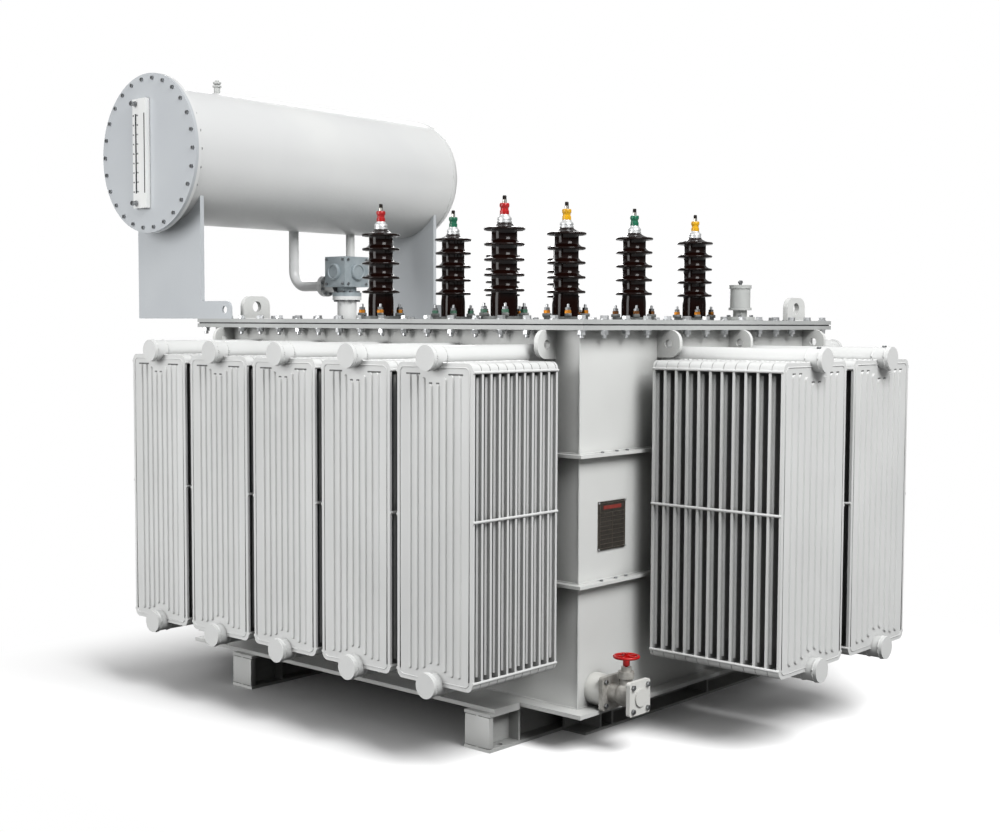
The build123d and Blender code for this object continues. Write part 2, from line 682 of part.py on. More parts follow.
def make_bushings():
    """Eight bushings in two rows, with a sleeve of its phase colour on each terminal."""
    sleeves = {"red": [], "yellow": [], "green": []}
    clamps = []
    terminals = []
    row_a = (ROW_A_FRONT_INSET, ROW_A_FIRST_PITCH, ROW_A_PITCH, ROW_A_PITCH)
    row_b = (ROW_B_FRONT_INSET, ROW_B_PITCH, ROW_B_MIDDLE_PITCH, ROW_B_PITCH)
    rows = {"a": (ROW_A_FROM_END, row_a, ROW_A_SLEEVES), "b": (ROW_B_FROM_END, row_b, ROW_B_SLEEVES)}
    for letter, (end_distance, pitches, colours) in rows.items():
        porcelains = []
        y = y_front
        for pitch, colour in zip(pitches, colours):
            y += pitch
            seat = Pos(from_end(end_distance), y, cover_top)
            clamps.append(seat * clamp_ring())
            porcelains.append(seat * porcelain())
            terminals.append(seat * terminal())
            sleeves[colour].append(seat * sleeve())
        save(f"bushing_porcelains_row_{letter}", *porcelains)
    save("bushing_clamp_rings", *clamps)
    save("bushing_terminals", *terminals)
    for colour, pieces in sleeves.items():
        save(f"{colour}_terminal_sleeves", *pieces)


def cover_lug():
    """A lug that stands on the cover across Y, with a rounded top and an eye along X."""
    outline = Rectangle(COVER_LUG_WIDTH, COVER_LUG_HEIGHT, align=(Align.CENTER, Align.MIN))
    outline = fillet(outline.vertices().group_by(Axis.Y)[-1], COVER_LUG_ROUND)
    outline -= Pos(0, COVER_LUG_EYE_HEIGHT) * Circle(COVER_LUG_EYE / 2)
    return extrude(Plane.YZ * outline, COVER_LUG_THICKNESS / 2, both=True)


def tank_lug():
    """A lug against a wall at Y = 0, reaching towards -Y under the flange, with an eye along X."""
    outline = Rectangle(TANK_LUG_REACH, TANK_LUG_HEIGHT, align=(Align.MIN, Align.MAX))
    outline = fillet(outline.vertices().group_by(Axis.X)[-1], TANK_LUG_ROUND)
    outline -= Pos(TANK_LUG_REACH / 2, -TANK_LUG_HEIGHT / 2) * Circle(TANK_LUG_EYE / 2)
    side = Plane(origin=(0, 0, TANK_TOP), x_dir=(0, -1, 0), z_dir=(-1, 0, 0))
    return extrude(side * outline, TANK_LUG_THICKNESS / 2, both=True)


def make_lugs():
    front_seat = Pos(x_far + FRONT_LUG_END_INSET, y_front + FRONT_LUG_FRONT_INSET, cover_top)
    back_seat = Pos(x_near - BACK_LUG_END_INSET, y_back - BACK_LUG_BACK_INSET, cover_top)
    save("cover_lifting_lugs", front_seat * cover_lug(), back_seat * cover_lug())
    lugs = []
    for distance in (TANK_LUG_FROM_END, TANK_LENGTH - TANK_LUG_FROM_END):
        lugs.append(Pos(from_end(distance), y_front, 0) * tank_lug())
        lugs.append(Pos(from_end(distance), y_back, 0) * Rot(0, 0, 180) * tank_lug())
    for y in [place - END_LUG_OFFSET for place in end_row()[1]] + [y_back - CORNER_LUG_INSET]:
        lugs.append(Pos(x_near, y, 0) * Rot(0, 0, 90) * tank_lug())
    save("tank_lifting_lugs", *lugs)


def make_relief():
    """A pressure relief device on the cover: a flanged neck, a clamping ring and a canister under a lid."""
    flange = RELIEF_FLANGE_DIAMETER / 2
    neck = RELIEF_NECK_DIAMETER / 2
    ring = RELIEF_RING_DIAMETER / 2
    canister = RELIEF_DIAMETER / 2
    lid = RELIEF_LID_DIAMETER / 2
    neck_top = RELIEF_FLANGE_THICKNESS + RELIEF_NECK_HEIGHT
    ring_top = neck_top + RELIEF_RING_THICKNESS
    lid_low = RELIEF_HEIGHT - RELIEF_LID_THICKNESS
    profile = [(0, 0), (flange, 0), (flange, RELIEF_FLANGE_THICKNESS), (neck, RELIEF_FLANGE_THICKNESS)]
    profile += [(neck, neck_top), (ring, neck_top), (ring, ring_top), (canister, ring_top)]
    profile += [(canister, lid_low), (lid, lid_low), (lid, RELIEF_HEIGHT), (0, RELIEF_HEIGHT)]
    seat = Pos(from_end(RELIEF_FROM_END), y_back - RELIEF_BACK_INSET, cover_top)
    save("pressure_relief_device", seat * turned(profile))


def make_nameplate():
    y = from_front(NAMEPLATE_FROM_FRONT)
    half = NAMEPLATE_HEIGHT / 2
    z_range = (NAMEPLATE_CENTRE - half, NAMEPLATE_CENTRE + half)
    y_range = (y - NAMEPLATE_WIDTH / 2, y + NAMEPLATE_WIDTH / 2)
    save("nameplate", block((x_near, x_near + NAMEPLATE_THICKNESS), y_range, z_range))


valve_y = from_front(VALVE_FROM_FRONT)
valve_z = base_top + STUB_BASE_GAP + STUB_DIAMETER / 2
stub_end = x_near + BASE_OVERHANG + FLANGE_BASE_GAP
bonnet_x = stub_end + (VALVE_FACE_TO_FACE + VALVE_FLANGE_THICKNESS) / 2 + BONNET_SHIFT
bonnet_top = valve_z + BONNET_HEIGHT
wheel_low = bonnet_top + WHEEL_CLEARANCE


def square_flange(x):
    """A square pipe flange with rounded corners, its wall side at X = x."""
    face = RectangleRounded(VALVE_FLANGE_SIZE, VALVE_FLANGE_SIZE, VALVE_FLANGE_CORNER)
    return extrude(Plane(origin=(x, valve_y, valve_z), z_dir=(1, 0, 0)) * face, VALVE_FLANGE_THICKNESS)


def make_drain_valve():
    """A drain valve on a stub, closed by a blind flange, with a handwheel on an upright stem."""
    def bar(x_low, x_high, diameter):
        return rod((x_low, valve_y, valve_z), (x_high, valve_y, valve_z), diameter)

    save("drain_stub", bar(x_near, stub_end, STUB_DIAMETER))
    blind_x = stub_end + VALVE_FACE_TO_FACE
    body = square_flange(stub_end) + bar(stub_end, blind_x, VALVE_BODY_DIAMETER)
    axis_foot = (bonnet_x, valve_y, valve_z)
    body += Pos(*axis_foot) * Sphere(VALVE_GLOBE_DIAMETER / 2)
    collar_top = bonnet_top - GLAND_HEIGHT
    collar_low = collar_top - BONNET_COLLAR_HEIGHT
    body += rod(axis_foot, (bonnet_x, valve_y, collar_low), BONNET_DIAMETER)
    body += rod((bonnet_x, valve_y, collar_low), (bonnet_x, valve_y, collar_top), BONNET_COLLAR_DIAMETER)
    body += rod((bonnet_x, valve_y, collar_top), (bonnet_x, valve_y, bonnet_top), GLAND_DIAMETER)
    stem_foot = bonnet_top - STEM_DEPTH
    bore_low = (bonnet_x, valve_y, stem_foot - STEM_RUNNING_GAP)
    body -= rod(bore_low, (bonnet_x, valve_y, bonnet_top), STEM_DIAMETER + 2 * STEM_RUNNING_GAP)
    save("drain_valve_body", body)
    blind_face = blind_x + VALVE_FLANGE_THICKNESS
    blind = square_flange(blind_x) + bar(blind_face, blind_face + BLIND_BOSS_HEIGHT, BLIND_BOSS_DIAMETER)
    save("drain_blind_flange", blind)
    save("drain_handwheel", handwheel())


def handwheel():
    """A spoked handwheel with its hub and stem, which turns about an upright axis."""
    rim_middle = wheel_low + WHEEL_HUB_HEIGHT - WHEEL_RIM / 2
    wheel = Pos(0, 0, rim_middle) * Torus((WHEEL_DIAMETER - WHEEL_RIM) / 2, WHEEL_RIM / 2)
    wheel += rod((0, 0, wheel_low), (0, 0, wheel_low + WHEEL_HUB_HEIGHT), WHEEL_HUB_DIAMETER)
    wheel += rod((0, 0, bonnet_top - STEM_DEPTH), (0, 0, wheel_low), STEM_DIAMETER)
    spoke_length = (WHEEL_DIAMETER - WHEEL_RIM) / 2
    spoke_z = (rim_middle - WHEEL_SPOKE / 2, rim_middle + WHEEL_SPOKE / 2)
    spoke = block((0, spoke_length), (-WHEEL_SPOKE / 2, WHEEL_SPOKE / 2), spoke_z)
    for number in range(WHEEL_SPOKES):
        wheel += Rot(0, 0, number * 360 / WHEEL_SPOKES) * spoke
    return Pos(bonnet_x, valve_y, 0) * wheel


os.makedirs("parts", exist_ok=True)
make_tank()
make_rim()
make_base()
make_skids()
make_radiators()
make_conservator()
make_supports()
make_level_gauge()
make_filler()
make_relay()
make_bushings()
make_lugs()
make_relief()
make_nameplate()
make_drain_valve()
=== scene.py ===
# %% [markdown]
# # A power transformer, dressed in Blender
#
# The part is an oil-filled power transformer: a welded steel tank on two skids, plate radiators on three
# sides, eight porcelain bushings on a bolted cover and a round conservator on two saddle plates.
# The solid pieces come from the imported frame. This lesson gives each of them a finish,
# and adds what is too small for the frame: bolts, weld beads, glazed sheds, clamp nuts and screws.

import json
import math
import random

import bmesh
import bpy
from mathutils import Matrix, Vector


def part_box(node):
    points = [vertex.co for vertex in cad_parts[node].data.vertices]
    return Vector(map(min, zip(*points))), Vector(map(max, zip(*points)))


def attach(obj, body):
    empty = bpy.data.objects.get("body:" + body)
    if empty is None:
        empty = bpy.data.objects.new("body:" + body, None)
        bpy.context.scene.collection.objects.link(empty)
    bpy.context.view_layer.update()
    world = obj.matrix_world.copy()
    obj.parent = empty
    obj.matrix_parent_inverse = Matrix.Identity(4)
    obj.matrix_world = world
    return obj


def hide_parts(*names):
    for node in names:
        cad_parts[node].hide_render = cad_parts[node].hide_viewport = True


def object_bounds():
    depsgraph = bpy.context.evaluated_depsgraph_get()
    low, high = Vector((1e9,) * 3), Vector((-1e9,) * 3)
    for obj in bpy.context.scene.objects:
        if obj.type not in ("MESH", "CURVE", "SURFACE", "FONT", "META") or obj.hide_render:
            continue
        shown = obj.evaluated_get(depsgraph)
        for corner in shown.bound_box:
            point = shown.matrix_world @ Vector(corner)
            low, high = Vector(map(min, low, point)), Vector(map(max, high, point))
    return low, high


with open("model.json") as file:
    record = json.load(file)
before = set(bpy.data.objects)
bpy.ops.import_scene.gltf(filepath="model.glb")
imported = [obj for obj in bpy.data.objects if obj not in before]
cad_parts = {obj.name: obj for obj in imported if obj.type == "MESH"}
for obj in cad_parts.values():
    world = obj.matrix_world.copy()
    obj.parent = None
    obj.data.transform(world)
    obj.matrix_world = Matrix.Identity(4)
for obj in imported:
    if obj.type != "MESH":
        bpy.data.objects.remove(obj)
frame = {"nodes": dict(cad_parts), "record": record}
cad_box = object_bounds()
nodes = frame["nodes"]
BODY = "transformer"
MM = 0.001
print("frame loaded:", len(nodes), "nodes, box", cad_box)

# %% [markdown]
# ## Colours and nodes
#
# Colours are written as the hex values that a paint chart gives, which are sRGB.
# Blender's shaders work in linear light, so one function does the change.
# One more small function adds a shader node with its settings, its values and its links.


# %% Colour and node helpers
def linear(hex_colour):
    """A linear RGBA colour from an sRGB hex value."""
    channels = [int(hex_colour[start:start + 2], 16) / 255 for start in (1, 3, 5)]
    return [c / 12.92 if c <= 0.04045 else ((c + 0.055) / 1.055) ** 2.4 for c in channels] + [1.0]


def add(tree, kind, settings=None, values=None, links=None):
    """Add one shader node: its own settings, its sockets' values, and links into its sockets."""
    node = tree.nodes.new(kind)
    for name, value in (settings or {}).items():
        setattr(node, name, value)
    for socket, value in (values or {}).items():
        node.inputs[socket].default_value = value
    for socket, source in (links or {}).items():
        tree.links.new(source, node.inputs[socket])
    return node


def blank_material(name):
    """A new material, its tree with only an output node, and that node."""
    material = bpy.data.materials.new(name)
    material.use_nodes = True
    tree = material.node_tree
    tree.nodes.clear()
    return material, tree, add(tree, "ShaderNodeOutputMaterial")


print("the tank's grey in linear light:", linear("#D6D7D5"))

# %% [markdown]
# ## Sprayed gloss enamel
#
# Tank, radiators and conservator are mild steel under a pale grey two-pack enamel, left to level.
# The radiators are flow coated and the rest is sprayed.
# Such paint has an IOR near 1.5 and a semi-gloss skin. Up close it shows orange peel about 4 mm across,
# which is finer than a pixel here, so the peel is drawn at 14 mm. The sheet under it is never quite flat,
# and a wide soft wave breaks up the reflections as plate steel does. Shade is painted into the colour:
# an occlusion node finds corners, the gaps between fins and places under other parts within a reach,
# and darkens the paint there. The shell's long reach paints shade on its underside, over the cover.
# The cover and the rim are brushed over once they are bolted up, and that coat dries duller.

# %% Enamel
CORNER_SHADE_TONE = 0.2
CORNER_SHARE = 0.05
OPEN_SHARE = 0.66
CORNER_RAYS = 6
TONE_PATCH = 700 * MM
GLOSS_PATCH = 160 * MM
GLOSS_SPREAD = 0.06
PEEL_DEPTH = 0.4 * MM


def sprayed_enamel(name, colour, shade, roughness, peel=14 * MM, wave=420 * MM, wave_height=1.2 * MM,
                   reach=110 * MM):
    material, tree, output = blank_material(name)
    place = add(tree, "ShaderNodeTexCoord").outputs["Object"]
    patches = add(tree, "ShaderNodeTexNoise", values={"Scale": 1 / TONE_PATCH, "Detail": 3.0},
                  links={"Vector": place})
    ramp = add(tree, "ShaderNodeValToRGB", links={"Fac": patches.outputs["Fac"]})
    for stop, position, tone in zip(ramp.color_ramp.elements, (0.35, 0.65), (shade, colour)):
        stop.position = position
        stop.color = linear(tone)
    # Painted shade: occlusion within the reach darkens the colour in corners, gaps and under other parts.
    corner = add(tree, "ShaderNodeAmbientOcclusion", settings={"samples": CORNER_RAYS},
                 values={"Distance": reach})
    painted_corner_shade = add(tree, "ShaderNodeMapRange", links={"Value": corner.outputs["AO"]},
               values={"From Min": CORNER_SHARE, "From Max": OPEN_SHARE,
                       "To Min": CORNER_SHADE_TONE, "To Max": 1.0})
    paint = add(tree, "ShaderNodeMix", settings={"data_type": "RGBA", "blend_type": "MULTIPLY"},
                values={"Factor": 1.0}, links={"A": ramp.outputs["Color"], "B": painted_corner_shade.outputs["Result"]})
    gloss = add(tree, "ShaderNodeTexNoise", values={"Scale": 1 / GLOSS_PATCH, "Detail": 4.0},
                links={"Vector": place})
    rough = add(tree, "ShaderNodeMapRange", links={"Value": gloss.outputs["Fac"]},
                values={"From Min": 0.3, "From Max": 0.7,
                        "To Min": roughness - GLOSS_SPREAD, "To Max": roughness + GLOSS_SPREAD})
    sheet = add(tree, "ShaderNodeTexNoise", values={"Scale": 1 / wave, "Detail": 1.0},
                links={"Vector": place})
    waves = add(tree, "ShaderNodeBump", values={"Strength": 0.25, "Distance": wave_height},
                links={"Height": sheet.outputs["Fac"]})
    skin = add(tree, "ShaderNodeTexNoise", values={"Scale": 1 / peel, "Detail": 2.0},
               links={"Vector": place})
    bump = add(tree, "ShaderNodeBump", values={"Strength": 0.12, "Distance": PEEL_DEPTH},
               links={"Height": skin.outputs["Fac"], "Normal": waves.outputs["Normal"]})
    shader = add(tree, "ShaderNodeBsdfPrincipled",
                 values={"IOR": 1.5, "Coat Weight": 0.12, "Coat Roughness": 0.2},
                 links={"Base Color": paint.outputs["Result"], "Roughness": rough.outputs["Result"],
                        "Normal": bump.outputs["Normal"]})
    tree.links.new(shader.outputs["BSDF"], output.inputs["Surface"])
    return material


finishes = {
    # Painted shade: the tank's long reach darkens its walls behind the radiators and under the flange.
    "tank_paint": sprayed_enamel("sprayed_grey_enamel", "#D6D7D5", "#CFD0CE", 0.36, reach=260 * MM),
    "radiator_paint": sprayed_enamel("flow_coated_grey_enamel", "#D2D3D2", "#CACBCA", 0.40, wave=260 * MM),
    "conservator_paint": sprayed_enamel("sprayed_pale_enamel", "#DADBDA", "#D4D5D5", 0.34),
    # Painted shade: the shell's long reach darkens its underside, over the cover.
    "shell_paint": sprayed_enamel("sprayed_shell_enamel_shaded_below", "#DADBDA", "#D4D5D5", 0.34, reach=1400 * MM),
    "rim_paint": sprayed_enamel("brushed_rim_enamel", "#B2B4B3", "#A4A6A5", 0.42, reach=60 * MM),
    "plate_paint": sprayed_enamel("sprayed_cool_enamel", "#BEC2C5", "#B8BCC0", 0.34),
    "gauge_paint": sprayed_enamel("sprayed_white_enamel", "#E6E7E6", "#DEDFDE", 0.32, reach=20 * MM),
    "relief_paint": sprayed_enamel("dull_grey_enamel", "#BEC0BE", "#ADAFAD", 0.42, reach=40 * MM),
    "valve_paint": sprayed_enamel("enamel_on_sand_casting", "#DEDEDA", "#CCCCC7", 0.45, peel=5 * MM,
                                  wave=40 * MM, wave_height=0.8 * MM),
}
print("enamels:", sorted(finishes))

# %% [markdown]
# ## Brown glaze
#
# The bushings are wet-process porcelain under a brown feldspar glaze, fired to a glassy skin.
# Glaze is a clear coat over a dark body: IOR about 1.5 and a roughness near 0.1.
# It pools a little, so its colour drifts between near black and dark brown over a few centimetres.

# %% Glaze
POOL_PATCH = 55 * MM
RIPPLE = 18 * MM
RIPPLE_DEPTH = 0.5 * MM


def fired_glaze(name, colour, pooled):
    material, tree, output = blank_material(name)
    place = add(tree, "ShaderNodeTexCoord").outputs["Object"]
    pool = add(tree, "ShaderNodeTexNoise", values={"Scale": 1 / POOL_PATCH, "Detail": 4.0},
               links={"Vector": place})
    ramp = add(tree, "ShaderNodeValToRGB", links={"Fac": pool.outputs["Fac"]})
    for stop, tone in zip(ramp.color_ramp.elements, (pooled, colour)):
        stop.color = linear(tone)
    ripple = add(tree, "ShaderNodeTexNoise", values={"Scale": 1 / RIPPLE, "Detail": 1.0},
                 links={"Vector": place})
    bump = add(tree, "ShaderNodeBump", values={"Strength": 0.15, "Distance": RIPPLE_DEPTH},
               links={"Height": ripple.outputs["Fac"]})
    shader = add(tree, "ShaderNodeBsdfPrincipled",
                 values={"Roughness": 0.12, "IOR": 1.5, "Specular IOR Level": 0.2},
                 links={"Base Color": ramp.outputs["Color"], "Normal": bump.outputs["Normal"]})
    tree.links.new(shader.outputs["BSDF"], output.inputs["Surface"])
    return material


finishes["brown_glaze"] = fired_glaze("brown_feldspar_glaze", "#1A0A07", "#080302")
print("glaze made")

# %% [markdown]
# ## Bare metals
#
# Zinc-plated bolts, tinned copper studs, die-cast aluminium caps and cast iron are all metal to the shader.
# They differ in colour, in how rough they are and in the size of their grain, so one function makes them
# and the names say which is which. A metal keeps the default IOR.
# A lower metallic share stands for a skin of oxide, dirt or thin paint.
# The nameplate is stainless sheet, etched and filled with dark paint, so its raised lines stay bright.


# %% Metals
def bare_metal(name, colour, dull, roughness, grain, metallic=1.0):
    material, tree, output = blank_material(name)
    place = add(tree, "ShaderNodeTexCoord").outputs["Object"]
    patches = add(tree, "ShaderNodeTexNoise", values={"Scale": 1 / (5 * grain), "Detail": 5.0},
                  links={"Vector": place})
    ramp = add(tree, "ShaderNodeValToRGB", links={"Fac": patches.outputs["Fac"]})
    for stop, position, tone in zip(ramp.color_ramp.elements, (0.3, 0.7), (dull, colour)):
        stop.position = position
        stop.color = linear(tone)
    rough = add(tree, "ShaderNodeMapRange", links={"Value": patches.outputs["Fac"]},
                values={"To Min": roughness + 0.12, "To Max": roughness - 0.08})
    grit = add(tree, "ShaderNodeTexNoise", values={"Scale": 1 / grain, "Detail": 3.0},
               links={"Vector": place})
    bump = add(tree, "ShaderNodeBump", values={"Strength": 0.2, "Distance": grain / 12},
               links={"Height": grit.outputs["Fac"]})
    shader = add(tree, "ShaderNodeBsdfPrincipled", values={"Metallic": metallic},
                 links={"Base Color": ramp.outputs["Color"], "Roughness": rough.outputs["Result"],
                        "Normal": bump.outputs["Normal"]})
    tree.links.new(shader.outputs["BSDF"], output.inputs["Surface"])
    return material


finishes.update({
    "zinc": bare_metal("zinc_plated_steel", "#E4E5E6", "#B9BCBE", 0.36, 4 * MM),
    "tinned_copper": bare_metal("tinned_copper", "#D9D7D0", "#A9A69E", 0.30, 3 * MM),
    "cast_cap": bare_metal("die_cast_aluminium", "#E3E4E4", "#C3C5C6", 0.42, 3 * MM, metallic=0.75),
    "dull_bolt": bare_metal("dull_zinc_bolt", "#A9ABAD", "#6C6E70", 0.28, 4 * MM),
    "clamp_iron": bare_metal("galvanised_clamp_iron", "#707271", "#525453", 0.52, 5 * MM, metallic=0.6),
    "valve_cast": bare_metal("bare_cast_iron", "#BDBBB6", "#96938D", 0.42, 6 * MM, metallic=0.3),
    "relay_metal": bare_metal("painted_aluminium_casting", "#A4ADB1", "#8D979C", 0.44, 14 * MM, metallic=0.2),
    "brass": bare_metal("lacquered_brass", "#D8923C", "#A9661F", 0.38, 3 * MM),
    "bronze": bare_metal("oxidised_bronze", "#7A5230", "#4B2F1C", 0.48, 3 * MM),
    "dark_tip": bare_metal("blackened_copper", "#3A3633", "#211F1D", 0.42, 3 * MM),
    "nameplate_metal": bare_metal("dark_etched_steel", "#5C5751", "#45413C", 0.44, 3 * MM, metallic=0.7),
    "plate_line": bare_metal("bright_etched_line", "#B7AEA2", "#8F877C", 0.36, 2 * MM),
})
print("metals made")

# %% [markdown]
# ## Moulded, rubber and enamelled small parts
#
# The phase sleeves are injection-moulded plastic, the gasket is black cork-rubber sheet,
# and the handwheel is cast iron under red enamel. All of these are non-metals: a base colour,
# a small drift of tone, and a fine bump. The oil behind the sight glass, the dark painted shade at
# the flute ends and the nameplate's red fill are made the same way.


# %% Plastics, rubber and red enamel
def moulded(name, colour, shade, roughness, grain, coat=0.0):
    material, tree, output = blank_material(name)
    place = add(tree, "ShaderNodeTexCoord").outputs["Object"]
    drift = add(tree, "ShaderNodeTexNoise", values={"Scale": 1 / (8 * grain), "Detail": 4.0},
                links={"Vector": place})
    ramp = add(tree, "ShaderNodeValToRGB", links={"Fac": drift.outputs["Fac"]})
    for stop, position, tone in zip(ramp.color_ramp.elements, (0.3, 0.7), (shade, colour)):
        stop.position = position
        stop.color = linear(tone)
    grit = add(tree, "ShaderNodeTexNoise", values={"Scale": 1 / grain, "Detail": 2.0},
               links={"Vector": place})
    bump = add(tree, "ShaderNodeBump", values={"Strength": 0.15, "Distance": grain / 10},
               links={"Height": grit.outputs["Fac"]})
    shader = add(tree, "ShaderNodeBsdfPrincipled",
                 values={"Roughness": roughness, "IOR": 1.49, "Coat Weight": coat, "Coat Roughness": 0.1},
                 links={"Base Color": ramp.outputs["Color"], "Normal": bump.outputs["Normal"]})
    tree.links.new(shader.outputs["BSDF"], output.inputs["Surface"])
    return material


finishes.update({
    "red_sleeve": moulded("red_moulded_plastic", "#B01416", "#930E10", 0.32, 3 * MM),
    "yellow_sleeve": moulded("yellow_moulded_plastic", "#DDA90A", "#C08E06", 0.32, 3 * MM),
    "green_sleeve": moulded("green_moulded_plastic", "#0F6A4C", "#0A523A", 0.32, 3 * MM),
    "gasket": moulded("cork_rubber_gasket", "#26262A", "#151517", 0.75, 4 * MM),
    "wheel_red": moulded("red_enamel_on_iron", "#C40A0C", "#A0080A", 0.34, 4 * MM),
    "green_nut": moulded("green_capped_nut", "#3F6B55", "#2C4D3E", 0.42, 3 * MM),
    "dark_glass": moulded("oil_behind_sight_glass", "#2B3036", "#191C20", 0.08, 20 * MM, coat=1.0),
    "plate_red": moulded("red_plate_fill", "#8E3A32", "#742C26", 0.45, 2 * MM),
    # Painted shade: a dark grey for the strips that stand for the shade at the top ends of the flutes.
    "fold_shade": moulded("primer_in_a_sharp_fold", "#5C5D5C", "#4A4B4A", 0.6, 4 * MM),
})
print("moulded finishes made")

# %% [markdown]
# ## Finishes on the frame's own pieces
#
# The record says which material slot each node takes, so the finish is looked up there and the node keeps
# its shape. A few nodes take a finish of their own: the conservator's plates are a cooler grey, and the
# valve body is a bare casting between painted flanges.

# %% Dress the nodes
slot_of = {part["node"]: part["material_slot"] for part in frame["record"]["subparts"]}
own_finish = {name: "plate_paint" for name in nodes if name.endswith(("end_plate", "_support"))}
own_finish.update({
    "level_gauge_body": "gauge_paint",
    "level_gauge_glass": "dark_glass",
    "conservator_shell": "shell_paint",
    "cover_plate": "rim_paint",
    "tank_flange": "rim_paint",
    "pressure_relief_device": "relief_paint",
    "drain_valve_body": "valve_cast",
})
for name, node in nodes.items():
    node.data.materials.clear()
    node.data.materials.append(finishes[own_finish.get(name, slot_of[name])])
print("dressed", len(nodes), "nodes")

# %% [markdown]
# ## Building blocks for the small parts
#
# Bolts, beads and turned parts are all made in bmesh and joined, many to a piece, so that the scene stays
# light. A turned form is a profile of (radius, height) pairs swept round an axis.
# A bolt head is a six-sided turned form. Curved faces are shaded smooth and sharp edges stay sharp.

# %% Mesh helpers
SHARP_EDGE = math.radians(35)
HEX_TURN = math.pi / 3
UP = Vector((0, 0, 1))
DOWN = Vector((0, 0, -1))
FRONT = Vector((0, -1, 0))
BACK = Vector((0, 1, 0))
RIGHT = Vector((1, 0, 0))
LEFT = Vector((-1, 0, 0))


def piece(name, build, finish, body=BODY):
    """Make one object from a bmesh that build fills, give it a finish and let it ride on a body."""
    bm = bmesh.new()
    build(bm)
    bmesh.ops.recalc_face_normals(bm, faces=bm.faces)
    mesh = bpy.data.meshes.new(name)
    bm.to_mesh(mesh)
    bm.free()
    mesh.shade_smooth()
    mesh.set_sharp_from_angle(angle=SHARP_EDGE)
    item = bpy.data.objects.new(name, mesh)
    bpy.context.scene.collection.objects.link(item)
    mesh.materials.append(finishes[finish])
    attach(item, body)
    return item


def corners(node):
    """The low and the high corner of a node's box."""
    return [Vector(corner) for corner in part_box(node)]


def seat(place, axis=UP, turn=0.0):
    """A matrix that puts local Z along an axis at a place, after a turn about that axis."""
    aim = Vector(axis).to_track_quat("Z", "Y").to_matrix().to_4x4()
    return Matrix.Translation(place) @ aim @ Matrix.Rotation(turn, 4, "Z")


print("pieces can be made")


# %% Turned forms
def round_offsets(radius, count, first=0.0):
    """Evenly spaced pairs of offsets round a circle. The first stands that share of a step past zero."""
    angles = [2 * math.pi * (number + first) / count for number in range(count)]
    return [(radius * math.cos(angle), radius * math.sin(angle)) for angle in angles]


def join_rings(bm, rings, closed=False):
    """Faces from each ring of points to the next, and from the last to the first if closed."""
    for lower, upper in zip(rings, rings[1:] + (rings[:1] if closed else [])):
        sides = max(len(lower), len(upper))
        for number in range(sides):
            following = (number + 1) % sides
            around = [lower[number % len(lower)], lower[following % len(lower)],
                      upper[following % len(upper)], upper[number % len(upper)]]
            face = list(dict.fromkeys(around))
            if len(face) > 2:
                bm.faces.new(face)


def turned(bm, profile, matrix, sides=24):
    """Sweep (radius, height) points round local Z. A radius of zero closes the form to a point."""
    rings = []
    for radius, height in profile:
        offsets = round_offsets(radius, sides) if radius else [(0, 0)]
        rings.append([bm.verts.new(matrix @ Vector((x, y, height))) for x, y in offsets])
    join_rings(bm, rings)


print("turned forms ready")

# %% [markdown]
# ## Bolts round the rim
#
# Cover, gasket and tank flange are drawn together by M24 bolts about 170 mm apart, heads on top and nuts
# below. They follow the middle of the rim on all four sides. Where a lifting lug hangs under the flange,
# there is no room for a nut, so only the head on top is drawn.


# %% Bolt heads and washers
def hexagon(bm, matrix, flats, height):
    """A hexagonal head or nut that stands on local Z = 0, with a chamfered top."""
    radius = flats / math.sqrt(3)
    profile = [(0, 0), (radius, 0), (radius, 0.88 * height), (0.88 * radius, height), (0, height)]
    turned(bm, profile, matrix, sides=6)


def washer(bm, matrix, radius, height):
    turned(bm, [(0, 0), (radius, 0), (radius, height), (0, height)], matrix, sides=20)


print("bolt heads ready")


# %% Even spacing and separate solids
def spaced(start, end, pitch):
    """Evenly spaced values from start to end, about a pitch apart."""
    count = max(1, round(abs(end - start) / pitch))
    return [start + (end - start) * number / count for number in range(count + 1)]


def solids_in(node):
    """The boxes of the separate solids in a node, sorted by place."""
    bm = bmesh.new()
    bm.from_mesh(nodes[node].data)
    bmesh.ops.remove_doubles(bm, verts=bm.verts, dist=0.02 * MM)
    waiting = set(bm.verts)
    boxes = []
    while waiting:
        front = [waiting.pop()]
        found = list(front)
        while front:
            vert = front.pop()
            linked = {line.other_vert(vert) for line in vert.link_edges} & waiting
            waiting -= linked
            front += linked
            found += linked
        low = Vector([min(vert.co[axis] for vert in found) for axis in range(3)])
        high = Vector([max(vert.co[axis] for vert in found) for axis in range(3)])
        boxes.append((low, high))
    bm.free()
    return sorted(boxes, key=lambda box: (round(box[0].x, 3), round(box[0].y, 3)))


print("lugs under the rim:", len(solids_in("tank_lifting_lugs")))

# %% Rim bolts
BOLT_PITCH = 170 * MM
RIM_BOLT_INSET = 38 * MM
M24_FLATS = 36 * MM
M24_HEAD = 16 * MM
M24_NUT = 20 * MM
M24_RADIUS = 12 * MM
STUD_CHAMFER = 3 * MM
WASHER_RADIUS = 23 * MM
WASHER_HEIGHT = 4 * MM
STUD_PAST_NUT = 16 * MM
LUG_CLEAR = 42 * MM

cover_low, cover_high = corners("cover_plate")
flange_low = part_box("tank_flange")[0][2]
tank_lugs = solids_in("tank_lifting_lugs")


